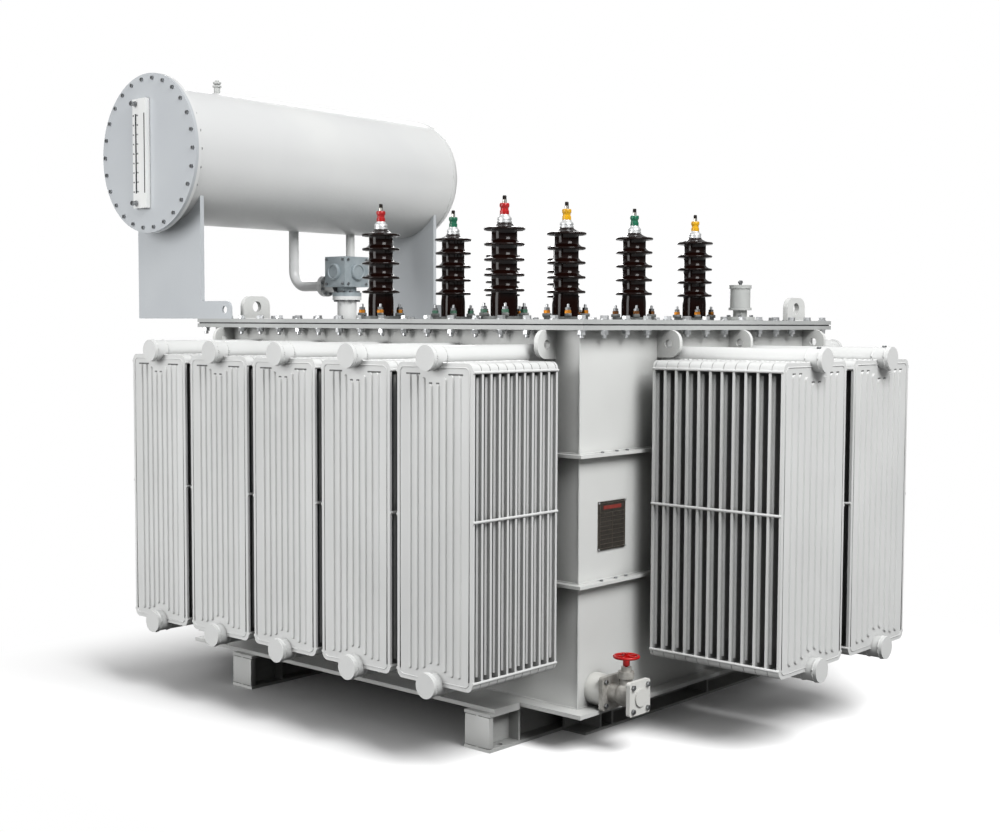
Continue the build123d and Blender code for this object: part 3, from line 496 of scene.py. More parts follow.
def rim_places():
    x_line = (cover_low.x + RIM_BOLT_INSET, cover_high.x - RIM_BOLT_INSET)
    y_line = (cover_low.y + RIM_BOLT_INSET, cover_high.y - RIM_BOLT_INSET)
    places = [(x, y) for x in spaced(*x_line, BOLT_PITCH) for y in y_line]
    places += [(x, y) for y in spaced(*y_line, BOLT_PITCH)[1:-1] for x in x_line]
    return places


def near_lug(x, y):
    return any(low.x - LUG_CLEAR < x < high.x + LUG_CLEAR and low.y - LUG_CLEAR < y < high.y + LUG_CLEAR
               for low, high in tank_lugs)


def make_rim_bolts(bm):
    tail = WASHER_HEIGHT + M24_NUT + STUD_PAST_NUT
    stud = [(0, 0), (M24_RADIUS, 0), (M24_RADIUS, tail - STUD_CHAMFER), (M24_RADIUS - STUD_CHAMFER, tail),
            (0, tail)]
    for x, y in rim_places():
        turn = random.uniform(0, HEX_TURN)
        top = Vector((x, y, cover_high.z))
        washer(bm, seat(top), WASHER_RADIUS, WASHER_HEIGHT)
        hexagon(bm, seat(top + WASHER_HEIGHT * UP, UP, turn), M24_FLATS, M24_HEAD)
        if near_lug(x, y):
            continue
        under = Vector((x, y, flange_low))
        washer(bm, seat(under, DOWN), WASHER_RADIUS, WASHER_HEIGHT)
        hexagon(bm, seat(under + WASHER_HEIGHT * DOWN, DOWN, turn), M24_FLATS, M24_NUT)
        turned(bm, stud, seat(under, DOWN), sides=12)


random.seed(24)
piece("rim_bolts", make_rim_bolts, "zinc")
print("rim bolts:", len(rim_places()))

# %% [markdown]
# ## Bushings
#
# Each bushing is one turned porcelain with five sheds that throw rain clear of the body. A shed is thin and
# round at its rim, with a soft root above and below, so its profile gets a small arc at the rim.
# The frame's own porcelain has straight flanks, so these smoother ones stand for it, at the same sizes.

# %% Porcelain, in millimetres
PORCELAIN_BODY = 65
PORCELAIN_FOOT = 69
PORCELAIN_HEIGHT = 487
FIRST_SHED = 140
SHED_PITCH = 77
SHED_RADIUS = 103
TOP_SHED_RADIUS = 106
SHED_RIM = 7
SHED_ROOT = 17
STRAIGHT_TOP = 56
CAP_SEAT = 37
GLAZE_SIDES = 56
RIM_ANGLES = [math.radians(angle) for angle in range(-100, 81, 30)]
FLANK_SHARES = (0.2, 0.45, 0.7, 0.9)
FLANK_SWEEP = 2.2
bushing_seats = [((low.x + high.x) / 2, (low.y + high.y) / 2, cover_high.z)
                 for low, high in solids_in("bushing_terminals")]
row_split = sum(place[0] for place in bushing_seats) / len(bushing_seats)
rows = {"a": [place for place in bushing_seats if place[0] > row_split],
        "b": [place for place in bushing_seats if place[0] < row_split]}


def shed_profile(low, rim, under, above, root_top):
    """One shed: a soft underside, a round rim and a flank that sweeps up to the body above."""
    points = [(under, low - 4), (under + 3, low + 4), (under + 10, low + 7), (rim - 16, low + 4)]
    arc = rim - SHED_RIM
    crown = low + 2 * SHED_RIM
    points += [(arc + SHED_RIM * math.cos(angle), low + SHED_RIM + SHED_RIM * math.sin(angle))
               for angle in RIM_ANGLES]
    points += [(arc - share * (arc - above), crown + share ** FLANK_SWEEP * (root_top - crown))
               for share in FLANK_SHARES]
    return points


def porcelain_profile():
    """The whole outline, from the foot to the seat of the cap."""
    foot, body, height = PORCELAIN_FOOT, PORCELAIN_BODY, PORCELAIN_HEIGHT
    points = [(0, 0), (foot, 0), (foot, 96), (foot - 1, 112), (body + 1, 128)]
    for number in range(4):
        low = FIRST_SHED + number * SHED_PITCH
        root_top = low + 2 * SHED_RIM + SHED_ROOT
        points += shed_profile(low, SHED_RADIUS, body, body, root_top)
        points += [(body, root_top + 2), (body, low + STRAIGHT_TOP)]
    points += shed_profile(FIRST_SHED + 4 * SHED_PITCH, TOP_SHED_RADIUS, body, CAP_SEAT + 4, height - 6)
    return points + [(CAP_SEAT + 2, height - 4), (CAP_SEAT + 1, height), (0, height)]


def lathe(bm, profile, matrix, sides=16):
    """A turned form from a profile in millimetres."""
    turned(bm, [(radius * MM, height * MM) for radius, height in profile], matrix, sides)


def make_turned(profile, seats, sides=28):
    """A builder that stands the same turned form, in millimetres, at every seat."""
    def build(bm):
        for place in seats:
            lathe(bm, profile, seat(place), sides)
    return build


for letter, seats in rows.items():
    glazed = piece(f"glazed_sheds_row_{letter}", make_turned(porcelain_profile(), seats, GLAZE_SIDES),
                   "brown_glaze")
    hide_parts(f"bushing_porcelains_row_{letter}")
print("bushings:", {letter: len(seats) for letter, seats in rows.items()})

# %% [markdown]
# ## Bushing caps, sleeves and studs
#
# On top sits a die-cast cap, then a spool-shaped phase sleeve, and then the bare tip of the copper stud.
# The caps and studs were one turned solid each in the frame. Here the cap and the stud part company,
# because one is cast aluminium and the other is tinned copper with a blackened, threaded tip.

# %% Caps, sleeves and studs
CAP = [(0, 487), (37, 487), (37, 495), (34, 497), (34, 501), (36.5, 503), (36.5, 509), (34, 514), (27, 521),
       (25, 524), (25, 528), (0, 528)]
SLEEVE = [(13, 528), (22, 528), (23.5, 530), (23.5, 547), (20.5, 551), (20.5, 561), (23, 565), (25, 568),
          (25, 580), (23, 585), (13, 586), (13, 528)]
STUD = [(0, 584), (11, 584), (11, 603), (0, 603)]
TIP = [(0, 603), (10.6, 603), (9.6, 605), (10.6, 607), (9.6, 609), (10.6, 611), (9.6, 613), (10.6, 615),
       (9.6, 617), (10.6, 619), (8, 624), (0, 624)]
ROW_COLOURS = {"a": ("red", "yellow", "green", "yellow"), "b": ("red", "green", "yellow", "green")}

caps = piece("bushing_caps", make_turned(CAP, bushing_seats, 36), "cast_cap")
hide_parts("bushing_terminals")
piece("terminal_studs", make_turned(STUD, bushing_seats), "tinned_copper")
piece("terminal_tips", make_turned(TIP, bushing_seats), "dark_tip")
for colour in ("red", "yellow", "green"):
    seats = [place for letter in rows for place, its_colour in zip(rows[letter], ROW_COLOURS[letter])
             if its_colour == colour]
    sleeve = f"{colour}_sleeve"
    spool = piece(f"{colour}_phase_spools", make_turned(SLEEVE, seats), sleeve)
    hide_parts(f"{colour}_terminal_sleeves")
print("terminals dressed")

# %% [markdown]
# ## Clamps at the foot of each bushing
#
# Four clamp blocks hold each porcelain to the cover, each drawn down by a stud, a nut and a lock nut.
# The lower nuts are brass, bronze or green, and the mix changes from bushing to bushing.

# %% Clamp blocks and nuts
CLAMP_TOP = 16 * MM
CLAMP_CIRCLE = 102 * MM
CLAMPS = 4
BLOCK_LOW = (-24 * MM, -17 * MM, 0)
BLOCK_HIGH = (24 * MM, 17 * MM, 18 * MM)
BLOCK_EDGE = 3 * MM
LOWER_NUT = [(0, 0), (19, 0), (19, 15), (17, 17), (0, 17)]
UPPER_NUT = [(0, 17), (16, 17), (16, 29), (14, 31), (0, 31)]
NUT_TIP = [(0, 31), (7.5, 31), (7.5, 46), (5, 49), (0, 49)]
NUT_FINISHES = ("brass", "green_nut", "brass", "bronze", "green_nut", "brass", "bronze", "brass")
clamp_offsets = [Vector((x, y, CLAMP_TOP)) for x, y in round_offsets(CLAMP_CIRCLE, CLAMPS, 0.5)]


def cuboid(bm, low, high, edge=0.0, matrix=Matrix()):
    """A box between two corners, with its edges softened, moved by a matrix."""
    middle = (Vector(low) + Vector(high)) / 2
    size = Vector(high) - Vector(low)
    shape = matrix @ Matrix.Translation(middle) @ Matrix.Diagonal((*size, 1))
    made = bmesh.ops.create_cube(bm, size=1.0, matrix=shape)
    if edge:
        edges = {line for vert in made["verts"] for line in vert.link_edges}
        bmesh.ops.bevel(bm, geom=list(edges), offset=edge, segments=2, affect="EDGES", profile=0.5)


def make_clamp_blocks(bm):
    for place in bushing_seats:
        for number, offset in enumerate(clamp_offsets):
            turn = Matrix.Rotation(2 * math.pi * (number + 0.5) / CLAMPS, 4, "Z")
            cuboid(bm, BLOCK_LOW, BLOCK_HIGH, BLOCK_EDGE, Matrix.Translation(Vector(place) + offset) @ turn)


def nut_seats(places):
    return [Vector(place) + offset + BLOCK_HIGH[2] * UP for place in places for offset in clamp_offsets]


piece("clamp_blocks", make_clamp_blocks, "clamp_iron")
for kind in sorted(set(NUT_FINISHES)):
    holders = [place for place, its_kind in zip(bushing_seats, NUT_FINISHES) if its_kind == kind]
    piece(f"clamp_nuts_{kind}", make_turned(LOWER_NUT, nut_seats(holders), 6), kind)
every_nut = nut_seats(bushing_seats)
piece("clamp_lock_nuts", make_turned(UPPER_NUT, every_nut, 6), "dull_bolt")
piece("clamp_stud_tips", make_turned(NUT_TIP, every_nut, 12), "zinc")
print("clamps:", len(every_nut))

# %% [markdown]
# ## Conservator bolts, weld seams and filler
#
# The front of the conservator is a flat plate, bolted to a flange ring by 26 bolts so that it can be opened.
# The dished end at the back is welded on, and the flange ring is welded to the shell, each with one round
# bead. On top, the filling neck has a collar and a turned plug, in the box of the frame's plain neck.


# %% Weld bead
def bead(bm, points, radius, closed=False, sides=6):
    """A weld bead: a tube along points that swells and shrinks a little from point to point."""
    rings = []
    count = len(points)
    for number, point in enumerate(points):
        before = points[number - 1] if number or closed else point
        after = points[(number + 1) % count] if number + 1 < count or closed else point
        matrix = seat(point, Vector(after) - Vector(before))
        swell = radius * (1 + 0.16 * math.sin(number * 2.1) + 0.10 * math.sin(number * 5.3))
        rings.append([bm.verts.new(matrix @ Vector((x, y, 0))) for x, y in round_offsets(swell, sides)])
    join_rings(bm, rings, closed)
    if not closed:
        bm.faces.new(rings[0])
        bm.faces.new(rings[-1])


print("weld bead ready")

# %% Conservator end
PLATE_BOLTS = 26
PLATE_BOLT_CIRCLE = 450 * MM
PLATE_STUD = [(0, 0), (8, 0), (8, 24), (0, 24)]
M16_FLATS = 22 * MM
M16_HEAD = 11 * MM
SEAM = 7 * MM
SEAM_POINTS = 220
FILLER = [(0, 0), (0.62, 0), (0.62, 0.5), (0.9, 0.52), (0.9, 0.62), (0.5, 0.66), (0.5, 0.72), (0.8, 0.75),
          (0.8, 0.88), (0.45, 0.92), (0.45, 1), (0, 1)]
plate_low, plate_high = corners("conservator_end_plate")
ring_high = corners("conservator_flange_ring")[1]
shell_low, shell_high = corners("conservator_shell")
filler_low, filler_high = corners("filler_neck")
axis_x = (plate_low.x + plate_high.x) / 2
axis_z = (plate_low.z + plate_high.z) / 2
shell_radius = (shell_high.x - shell_low.x) / 2


def round_points(radius, y, count):
    return [Vector((axis_x + x, y, axis_z + z)) for x, z in round_offsets(radius, count)]


def make_plate_bolts(bm):
    for point in round_points(PLATE_BOLT_CIRCLE, plate_low.y, PLATE_BOLTS):
        turn = random.uniform(0, HEX_TURN)
        hexagon(bm, seat(point, FRONT, turn), M16_FLATS, M16_HEAD)
        behind = Vector((point.x, ring_high.y, point.z))
        hexagon(bm, seat(behind, BACK, turn), M16_FLATS, M16_HEAD)
        lathe(bm, PLATE_STUD, seat(behind, BACK), 10)


def make_shell_seams(bm):
    bead(bm, round_points(shell_radius, ring_high.y + SEAM / 2, SEAM_POINTS), SEAM, closed=True)
    bead(bm, round_points(shell_radius, shell_high.y, SEAM_POINTS), SEAM * 0.7, closed=True)


def make_filler(bm):
    radius = (filler_high.x - filler_low.x) / 2
    height = filler_high.z - filler_low.z
    middle = (filler_low + filler_high) / 2
    profile = [(share * radius, up * height) for share, up in FILLER]
    turned(bm, profile, seat((middle.x, middle.y, filler_low.z)))


filler = piece("filler_with_plug", make_filler, "relief_paint")
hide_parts("filler_neck")
random.seed(26)
piece("conservator_plate_bolts", make_plate_bolts, "dull_bolt")
piece("conservator_seams", make_shell_seams, "shell_paint")
print("conservator radius", round(shell_radius, 3))

# %% [markdown]
# ## Radiator seams and plugs
#
# Each radiator is a pack of pressed panels with a header pipe let into the tops and one into the bottoms.
# The panels are welded to the pipes along both flanks, with a bead woven from side to side,
# and the pipe ends are closed by welded caps.
# A small bleed plug stands on the upper header of each end radiator, behind its cap.

# %% Radiator seams
HEADER_RADIUS = 56 * MM
CAP_RADIUS = 59 * MM
CAP_REACH = 60 * MM
CAP_THICKNESS = 22 * MM
CAP_JOINT = 70 * MM
WALL_GAP = 122 * MM
WALL_SEAM = 3 * MM
PANEL_TOP = 1902 * MM
PANEL_BOTTOM = 418 * MM
BEAD_STEP = 14 * MM
BEAD_RADIUS = 5 * MM
WEAVE = 8 * MM
RING_POINTS = 40
PLUG = [(0, 0), (11, 0), (11, 9), (9, 12), (0, 12)]
PLUG_OFFSET = 12 * MM
PLUG_SUNK = 3 * MM
radiators = {name: corners(name) for name in nodes if "radiator" in name}
end_radiators = [name for name in radiators if name.startswith("end")]
tank_low = corners("tank_front_wall")[0]
tank_high = corners("tank_back_wall")[1]


def radiator_frame(name):
    """A matrix from a radiator's own axes, X across, -Y outward, Z up, and the Y of its outer panel."""
    low, high = radiators[name]
    middle = (low + high) / 2
    if name.startswith("end"):
        place, turn, reach = (tank_high.x, middle.y, 0), math.pi / 2, high.x - tank_high.x
    elif name.startswith("front"):
        place, turn, reach = (middle.x, tank_low.y, 0), 0, tank_low.y - low.y
    else:
        place, turn, reach = (middle.x, tank_high.y, 0), math.pi, high.y - tank_high.y
    return Matrix.Translation(place) @ Matrix.Rotation(turn, 4, "Z"), CAP_REACH - reach


def make_radiator_seams(bm):
    for name, (low, high) in radiators.items():
        matrix, outer = radiator_frame(name)
        cap_back = outer - CAP_REACH + CAP_THICKNESS
        rings = ((-WALL_SEAM, HEADER_RADIUS), (cap_back, HEADER_RADIUS + 1 * MM),
                 (cap_back + CAP_JOINT, HEADER_RADIUS - 1 * MM))
        for z, edge in ((low.z + CAP_RADIUS, PANEL_BOTTOM), (high.z - CAP_RADIUS, PANEL_TOP)):
            flank = math.sqrt(HEADER_RADIUS ** 2 - (edge - z) ** 2)
            for side in (-1, 1):
                line = [Vector((side * (flank + WEAVE * (step % 2)), y, edge))
                        for step, y in enumerate(spaced(outer, -WALL_GAP, BEAD_STEP))]
                bead(bm, [matrix @ point for point in line], BEAD_RADIUS)
            for y, radius in rings:
                ring = [matrix @ Vector((x, y, z + up)) for x, up in round_offsets(radius, RING_POINTS)]
                bead(bm, ring, BEAD_RADIUS, closed=True)


def make_header_plugs(bm):
    for name in end_radiators:
        matrix, outer = radiator_frame(name)
        top = radiators[name][1].z - CAP_RADIUS + HEADER_RADIUS
        lathe(bm, PLUG, matrix @ seat((0, outer - PLUG_OFFSET, top - PLUG_SUNK)), 6)


piece("radiator_seams", make_radiator_seams, "radiator_paint")
piece("header_plugs", make_header_plugs, "dull_bolt")
print("radiators:", len(radiators))

# %% [markdown]
# ## Pressings on the radiator panels
#
# A panel is two pressed sheets welded round the edge, so its outer face has a rolled border line,
# and the shade at the steep top ends of most flutes is painted as small dark strips. Behind the outer panel,
# the edges of the inner ones show a raised channel beside the weld flange.
# All of these are thin, so they are laid on the frame's own panels.

# %% Panel pressings
FRONT_STACK = (11, 58 * MM)
END_STACK = (12, 66 * MM)
PANEL_THICKNESS = 14 * MM
BORDER_INSET = 20 * MM
BORDER_ROUND = 26 * MM
BORDER_RADIUS = 3.5 * MM
CORNER_STEPS = 7
CHANNEL_INSET = 19 * MM
CHANNEL_WIDTH = 17 * MM
CHANNEL_HEIGHT = 9 * MM
CHANNEL_SLOPE = 6 * MM
CHANNEL_END = 62 * MM
TIE_RADIUS = 7 * MM
FLUTES = 8
PLAIN_FLUTES = (2, 5)
MIDDLE_FLUTES = (3, 4)
FLUTE_EDGE = 60 * MM
FLUTE_END = 52 * MM
FLUTE_DIP = 56 * MM
SHADE_STRIP_HEIGHT = 4 * MM
SHADE_STRIP_RISE = 3 * MM
SHADE_STRIP_EDGE = 1 * MM
PAIRED_SHADE_STRIP = 0.48
SINGLE_SHADE_STRIP = 0.2


def panel_width(name):
    low, high = radiators[name]
    across = high.y - low.y if name in end_radiators else high.x - low.x
    return across - 2 * TIE_RADIUS


def rounded_loop(width, low, high, corner, y):
    """Points round a rectangle with rounded corners, in a radiator's own axes."""
    points = []
    for number, (side, z) in enumerate(((1, high), (-1, high), (-1, low), (1, low))):
        centre = Vector((side * (width / 2 - corner), y, z + (-corner if z == high else corner)))
        for step in range(CORNER_STEPS):
            angle = math.pi / 2 * (number + step / (CORNER_STEPS - 1))
            points.append(centre + corner * Vector((math.cos(angle), 0, math.sin(angle))))
    return points


def make_panel_borders(bm):
    for name in radiators:
        matrix, outer = radiator_frame(name)
        loop = rounded_loop(panel_width(name) - 2 * BORDER_INSET, PANEL_BOTTOM + BORDER_INSET,
                            PANEL_TOP - BORDER_INSET, BORDER_ROUND, outer)
        bead(bm, [matrix @ point for point in loop], BORDER_RADIUS, closed=True)


def channel(bm, matrix, x_low, x_high, y, out):
    """A raised upright channel with sloped flanks on a panel face at y, standing out along -Y or +Y."""
    crest = y + out * CHANNEL_HEIGHT
    outline = [(x_low, y), (x_low + CHANNEL_SLOPE, crest), (x_high - CHANNEL_SLOPE, crest), (x_high, y)]
    rings = [[bm.verts.new(matrix @ Vector((x, depth, z))) for x, depth in outline]
             for z in (PANEL_BOTTOM + CHANNEL_END, PANEL_TOP - CHANNEL_END)]
    join_rings(bm, rings)
    for ring in rings:
        bm.faces.new(ring)


def make_panel_channels(bm):
    for name in radiators:
        matrix, outer = radiator_frame(name)
        count, pitch = END_STACK if name in end_radiators else FRONT_STACK
        edge = panel_width(name) / 2 - CHANNEL_INSET
        for fin in range(count):
            front_face = outer + fin * pitch
            faces = [(front_face + PANEL_THICKNESS, 1)] + ([(front_face, -1)] if fin else [])
            for y, out in faces:
                channel(bm, matrix, edge - CHANNEL_WIDTH, edge, y, out)
                channel(bm, matrix, -edge, CHANNEL_WIDTH - edge, y, out)


def make_flute_folds(bm):
    """Dark strips of painted shade at the top ends of the outer flutes, long ones on the long sides, and
    short ones in the middle.
    """
    for name in radiators:
        matrix, outer = radiator_frame(name)
        width = panel_width(name)
        pitch = (width - 2 * FLUTE_EDGE) / FLUTES
        for number in range(FLUTES):
            if number in PLAIN_FLUTES:
                continue
            x = -width / 2 + FLUTE_EDGE + (number + 0.5) * pitch
            top = PANEL_TOP - FLUTE_END - FLUTE_DIP * max(0, 1 - abs(x) / (2 * pitch))
            single = name in end_radiators or number in MIDDLE_FLUTES
            half = pitch * (SINGLE_SHADE_STRIP if single else PAIRED_SHADE_STRIP)
            cuboid(bm, (x - half, outer - SHADE_STRIP_RISE, top - SHADE_STRIP_RISE), (x + half, outer, top + SHADE_STRIP_HEIGHT),
                   SHADE_STRIP_EDGE, matrix)


piece("flute_folds", make_flute_folds, "fold_shade")
piece("panel_border_rolls", make_panel_borders, "radiator_paint")
piece("panel_edge_channels", make_panel_channels, "radiator_paint")
print("panel pressings made")

# %% [markdown]
# ## Weld seams and belt bolts on the tank
#
# The walls meet at the corners, stand on the base plate, carry the belts and hold up the flange, all by
# fillet welds. A bead that swells and shrinks every few centimetres looks hand laid, so one is drawn along
# each joint. On the end wall, three small bolts stand on each belt.

# %% Tank seams
TANK_BEAD = 6 * MM
TANK_BEAD_STEP = 34 * MM
BELT_BOLTS = (150 * MM, 265 * MM, 350 * MM)
M10_FLATS = 17 * MM
M10_HEAD = 7 * MM
base_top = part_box("tank_base_plate")[1][2]
belts = solids_in("tank_stiffener_belts")


def ring_round_tank(z):
    turns = [(tank_low.x, tank_low.y), (tank_high.x, tank_low.y), (tank_high.x, tank_high.y),
             (tank_low.x, tank_high.y)]
    points = []
    for (x_0, y_0), (x_1, y_1) in zip(turns, turns[1:] + turns[:1]):
        for share in spaced(0, 1, TANK_BEAD_STEP / math.hypot(x_1 - x_0, y_1 - y_0))[:-1]:
            points.append(Vector((x_0 + share * (x_1 - x_0), y_0 + share * (y_1 - y_0), z)))
    return points


def make_tank_seams(bm):
    heights = [base_top, flange_low] + [z for low, high in belts for z in (low.z, high.z)]
    for z in sorted(set(heights)):
        bead(bm, ring_round_tank(z), TANK_BEAD, closed=True, sides=5)
    for x in (tank_low.x, tank_high.x):
        for y in (tank_low.y, tank_high.y):
            upright = [Vector((x, y, z)) for z in spaced(base_top, flange_low, TANK_BEAD_STEP)]
            bead(bm, upright, TANK_BEAD * 0.8, sides=5)


def make_lug_seams(bm):
    for low, high in solids_in("cover_lifting_lugs"):
        for x in (low.x, high.x):
            line = [Vector((x, y, low.z)) for y in spaced(low.y, high.y, BEAD_STEP)]
            bead(bm, line, TANK_BEAD)


def make_belt_bolts(bm):
    for low, high in belts:
        if high.x > tank_high.x:
            for distance in BELT_BOLTS:
                spot = ((tank_high.x + high.x) / 2, tank_low.y + distance, high.z)
                hexagon(bm, seat(spot), M10_FLATS, M10_HEAD)


piece("belt_bolts", make_belt_bolts, "dull_bolt")
piece("tank_weld_seams", make_tank_seams, "tank_paint")
piece("lug_weld_seams", make_lug_seams, "tank_paint")
print("tank seams made at", len(belts), "belts")

# %% [markdown]
# ## Ends of the skids
#
# A skid is an I-section with its ends closed by a flat plate, so that a jack or a chain can't bend the
# flanges. The frame's plate is set back from the flange tips. A facing plate is laid on it here, up to the
# end of the web, with a narrow gap to each flange.

# %% Skid ends
SKID_FLANGE = 16 * MM
SKID_END_RECESS = 28 * MM
FACING_GAP = 3 * MM
FACING_INSET = 5 * MM
FACING_PROUD = 1 * MM
FACING_EDGE = 2 * MM


def make_skid_facings(bm):
    for name in ("valve_end_skid", "conservator_end_skid"):
        low, high = corners(name)
        z_low = low.z + SKID_FLANGE + FACING_GAP
        z_high = high.z - SKID_FLANGE - FACING_GAP
        for y_0, y_1 in ((low.y - FACING_PROUD, low.y + SKID_END_RECESS),
                         (high.y - SKID_END_RECESS, high.y + FACING_PROUD)):
            cuboid(bm, (low.x + FACING_INSET, y_0, z_low), (high.x - FACING_INSET, y_1, z_high), FACING_EDGE)


piece("skid_end_facings", make_skid_facings, "tank_paint")
print("skid ends faced")

# %% [markdown]
# ## Level gauge and relief device
#
# The gauge body is a bar with a slotted window: screws hold its cover strip along both sides of the glass,
# and a cock at each end lets it be shut off. The guard beside it has one long slot, drawn as a dark strip of
# painted shade.
# The relief device has a ring of bolts round its foot and a release knob on the lid.

# %% Gauge and relief fittings
GAUGE_WIDTH = 66 * MM
GAUGE_DEPTH = 26 * MM
SCREW = [(0, 0), (5, 0), (5, 3), (4, 5), (0, 5)]
SCREW_OFFSET = 20 * MM
SCREW_PITCH = 58 * MM
SCREW_END = 10 * MM
COCK = [(0, 0), (17, 0), (17, 8), (12, 10), (12, 24), (16, 26), (16, 34), (13, 37), (0, 37)]
COCK_INSET = 30 * MM
SLOT_INSET = 14 * MM
SLOT_HALF = 4 * MM
SLOT_RISE = 1 * MM
RELIEF_BOLTS = 6
RELIEF_BOLT_CIRCLE = 75 * MM
RELIEF_FOOT = 22 * MM
M12_FLATS = 19 * MM
M12_NUT = 10 * MM
KNOB = [(0, 0), (9, 0), (9, 8), (14, 11), (14, 22), (10, 27), (0, 27)]
gauge_low, gauge_high = corners("level_gauge_body")
gauge_x = gauge_low.x + GAUGE_WIDTH / 2
gauge_face = gauge_high.y - GAUGE_DEPTH
glass_low, glass_high = corners("level_gauge_glass")
relief_low, relief_high = corners("pressure_relief_device")
relief_x = (relief_low.x + relief_high.x) / 2
relief_y = (relief_low.y + relief_high.y) / 2


def make_gauge_fittings(bm):
    for z in spaced(glass_low.z + SCREW_END, glass_high.z - SCREW_END, SCREW_PITCH):
        for side in (-1, 1):
            lathe(bm, SCREW, seat((gauge_x + side * SCREW_OFFSET, gauge_face, z), FRONT), 10)
    for z in (gauge_low.z + COCK_INSET, gauge_high.z - COCK_INSET):
        lathe(bm, COCK, seat((gauge_x, gauge_face, z), FRONT), 14)


# Painted shade: a dark strip on the guard's face stands for the shade inside its slot.
def make_slot_painted_shade(bm):
    x = gauge_high.x - SLOT_INSET
    cuboid(bm, (x - SLOT_HALF, gauge_low.y - SLOT_RISE, glass_low.z),
           (x + SLOT_HALF, gauge_low.y + SLOT_RISE, glass_high.z))


def make_relief_fittings(bm):
    lathe(bm, KNOB, seat((relief_x, relief_y, relief_high.z)))
    for x, y in round_offsets(RELIEF_BOLT_CIRCLE, RELIEF_BOLTS):
        spot = (relief_x + x, relief_y + y, relief_low.z + RELIEF_FOOT)
        hexagon(bm, seat(spot), M12_FLATS, M12_NUT)


piece("gauge_fittings", make_gauge_fittings, "dull_bolt")
piece("slot_painted_shade", make_slot_painted_shade, "gasket")
piece("relief_fittings", make_relief_fittings, "dull_bolt")
print("gauge at x", round(gauge_x, 3))

# %% [markdown]
# ## Gas relay fittings
#
# The relay is an aluminium box with a window on each of its two open faces. Each window has a raised rim
# and a bolt at each corner of its face. The joint under the neck and the elbow's flange are bolted too.

# %% Relay fittings
WINDOW_DEPTH = 14 * MM
WINDOW_RIM = [(40, 0), (52, 0), (52, 5), (49, 8), (43, 8), (40, 5), (40, 0)]
RELAY_HEIGHT = 195 * MM
CORNER_BOLT = 78 * MM
CORNER_HEAD = 9 * MM
RING_BOLTS = 8
RING_BOLT_CIRCLE = 78 * MM
RING_THICKNESS = 24 * MM
RING_NUT = 12 * MM
ELBOW_RISE = 10 * MM
ELBOW_NECK_LENGTH = 90 * MM
ELBOW_FLANGE = 36 * MM
ELBOW_BOLT_CIRCLE = 57 * MM
relay_low, relay_high = corners("gas_relay")
riser_low, riser_high = corners("relay_riser")
relay_x = (riser_low.x + riser_high.x) / 2
relay_y = (relay_low.y + relay_high.y) / 2
relay_z = relay_high.z - RELAY_HEIGHT / 2
joint = Vector((relay_x, relay_y, riser_high.z))
elbow_face = Vector((relay_low.x - ELBOW_NECK_LENGTH, relay_y, relay_high.z - RELAY_HEIGHT + ELBOW_RISE))
relay_faces = ((Vector((relay_x, relay_low.y, relay_z)), FRONT, RIGHT),
               (Vector((relay_high.x, relay_y, relay_z)), RIGHT, BACK))


def make_window_rims(bm):
    for place, axis, across in relay_faces:
        lathe(bm, WINDOW_RIM, seat(place, axis), 32)


def make_relay_bolts(bm):
    for place, axis, across in relay_faces:
        for side in (-1, 1):
            for height in (-1, 1):
                spot = place - WINDOW_DEPTH * axis + CORNER_BOLT * (side * across + height * UP)
                hexagon(bm, seat(spot, axis), M10_FLATS, CORNER_HEAD)
    for x, y in round_offsets(RING_BOLT_CIRCLE, RING_BOLTS, 0.5):
        spot = joint + Vector((x, y, 0))
        hexagon(bm, seat(spot + RING_THICKNESS * UP), M16_FLATS, M16_HEAD)
        hexagon(bm, seat(spot + RING_THICKNESS * DOWN, DOWN), M16_FLATS, RING_NUT)
    for y, z in round_offsets(ELBOW_BOLT_CIRCLE, RING_BOLTS, 0.5):
        spot = elbow_face + Vector((0, y, z))
        hexagon(bm, seat(spot, RIGHT), M10_FLATS, CORNER_HEAD)
        hexagon(bm, seat(spot + ELBOW_FLANGE * LEFT, LEFT), M10_FLATS, CORNER_HEAD)


piece("relay_window_rims", make_window_rims, "relay_metal")
piece("relay_bolts", make_relay_bolts, "dull_bolt")
print("relay at", round(relay_x, 3), round(relay_y, 3))

# %% [markdown]
# ## Drain valve and nameplate
#
# Four bolts close each square flange of the valve, and a nut holds the red wheel on its stem.
# The nameplate gets a raised border, empty ruled fields, a red title strip and four screws.

# %% Valve and nameplate fittings
FLANGE_BOLT = 58 * MM
FLANGE_THICKNESS = 22 * MM
M16_NUT = 13 * MM
STEM_WASHER = 14 * MM
STEM_WASHER_HEIGHT = 2 * MM
PLATE_LINE = 2.5 * MM
PLATE_RISE = 1.2 * MM
PLATE_SUNK = 0.5 * MM
PLATE_BORDER = 9 * MM
PLATE_ROWS = 8
PLATE_TITLE = 46 * MM
TITLE_DROP = 12 * MM
TITLE_HEIGHT = 18 * MM
TITLE_INSET = 36 * MM
SCREW_INSET_Y = 2 * MM
SCREW_INSET_Z = 6 * MM
stub_high = corners("drain_stub")[1]
blind_low, blind_high = corners("drain_blind_flange")
valve_y = (blind_low.y + blind_high.y) / 2
valve_z = (blind_low.z + blind_high.z) / 2
wheel_low, wheel_high = corners("drain_handwheel")
name_low, name_high = corners("nameplate")


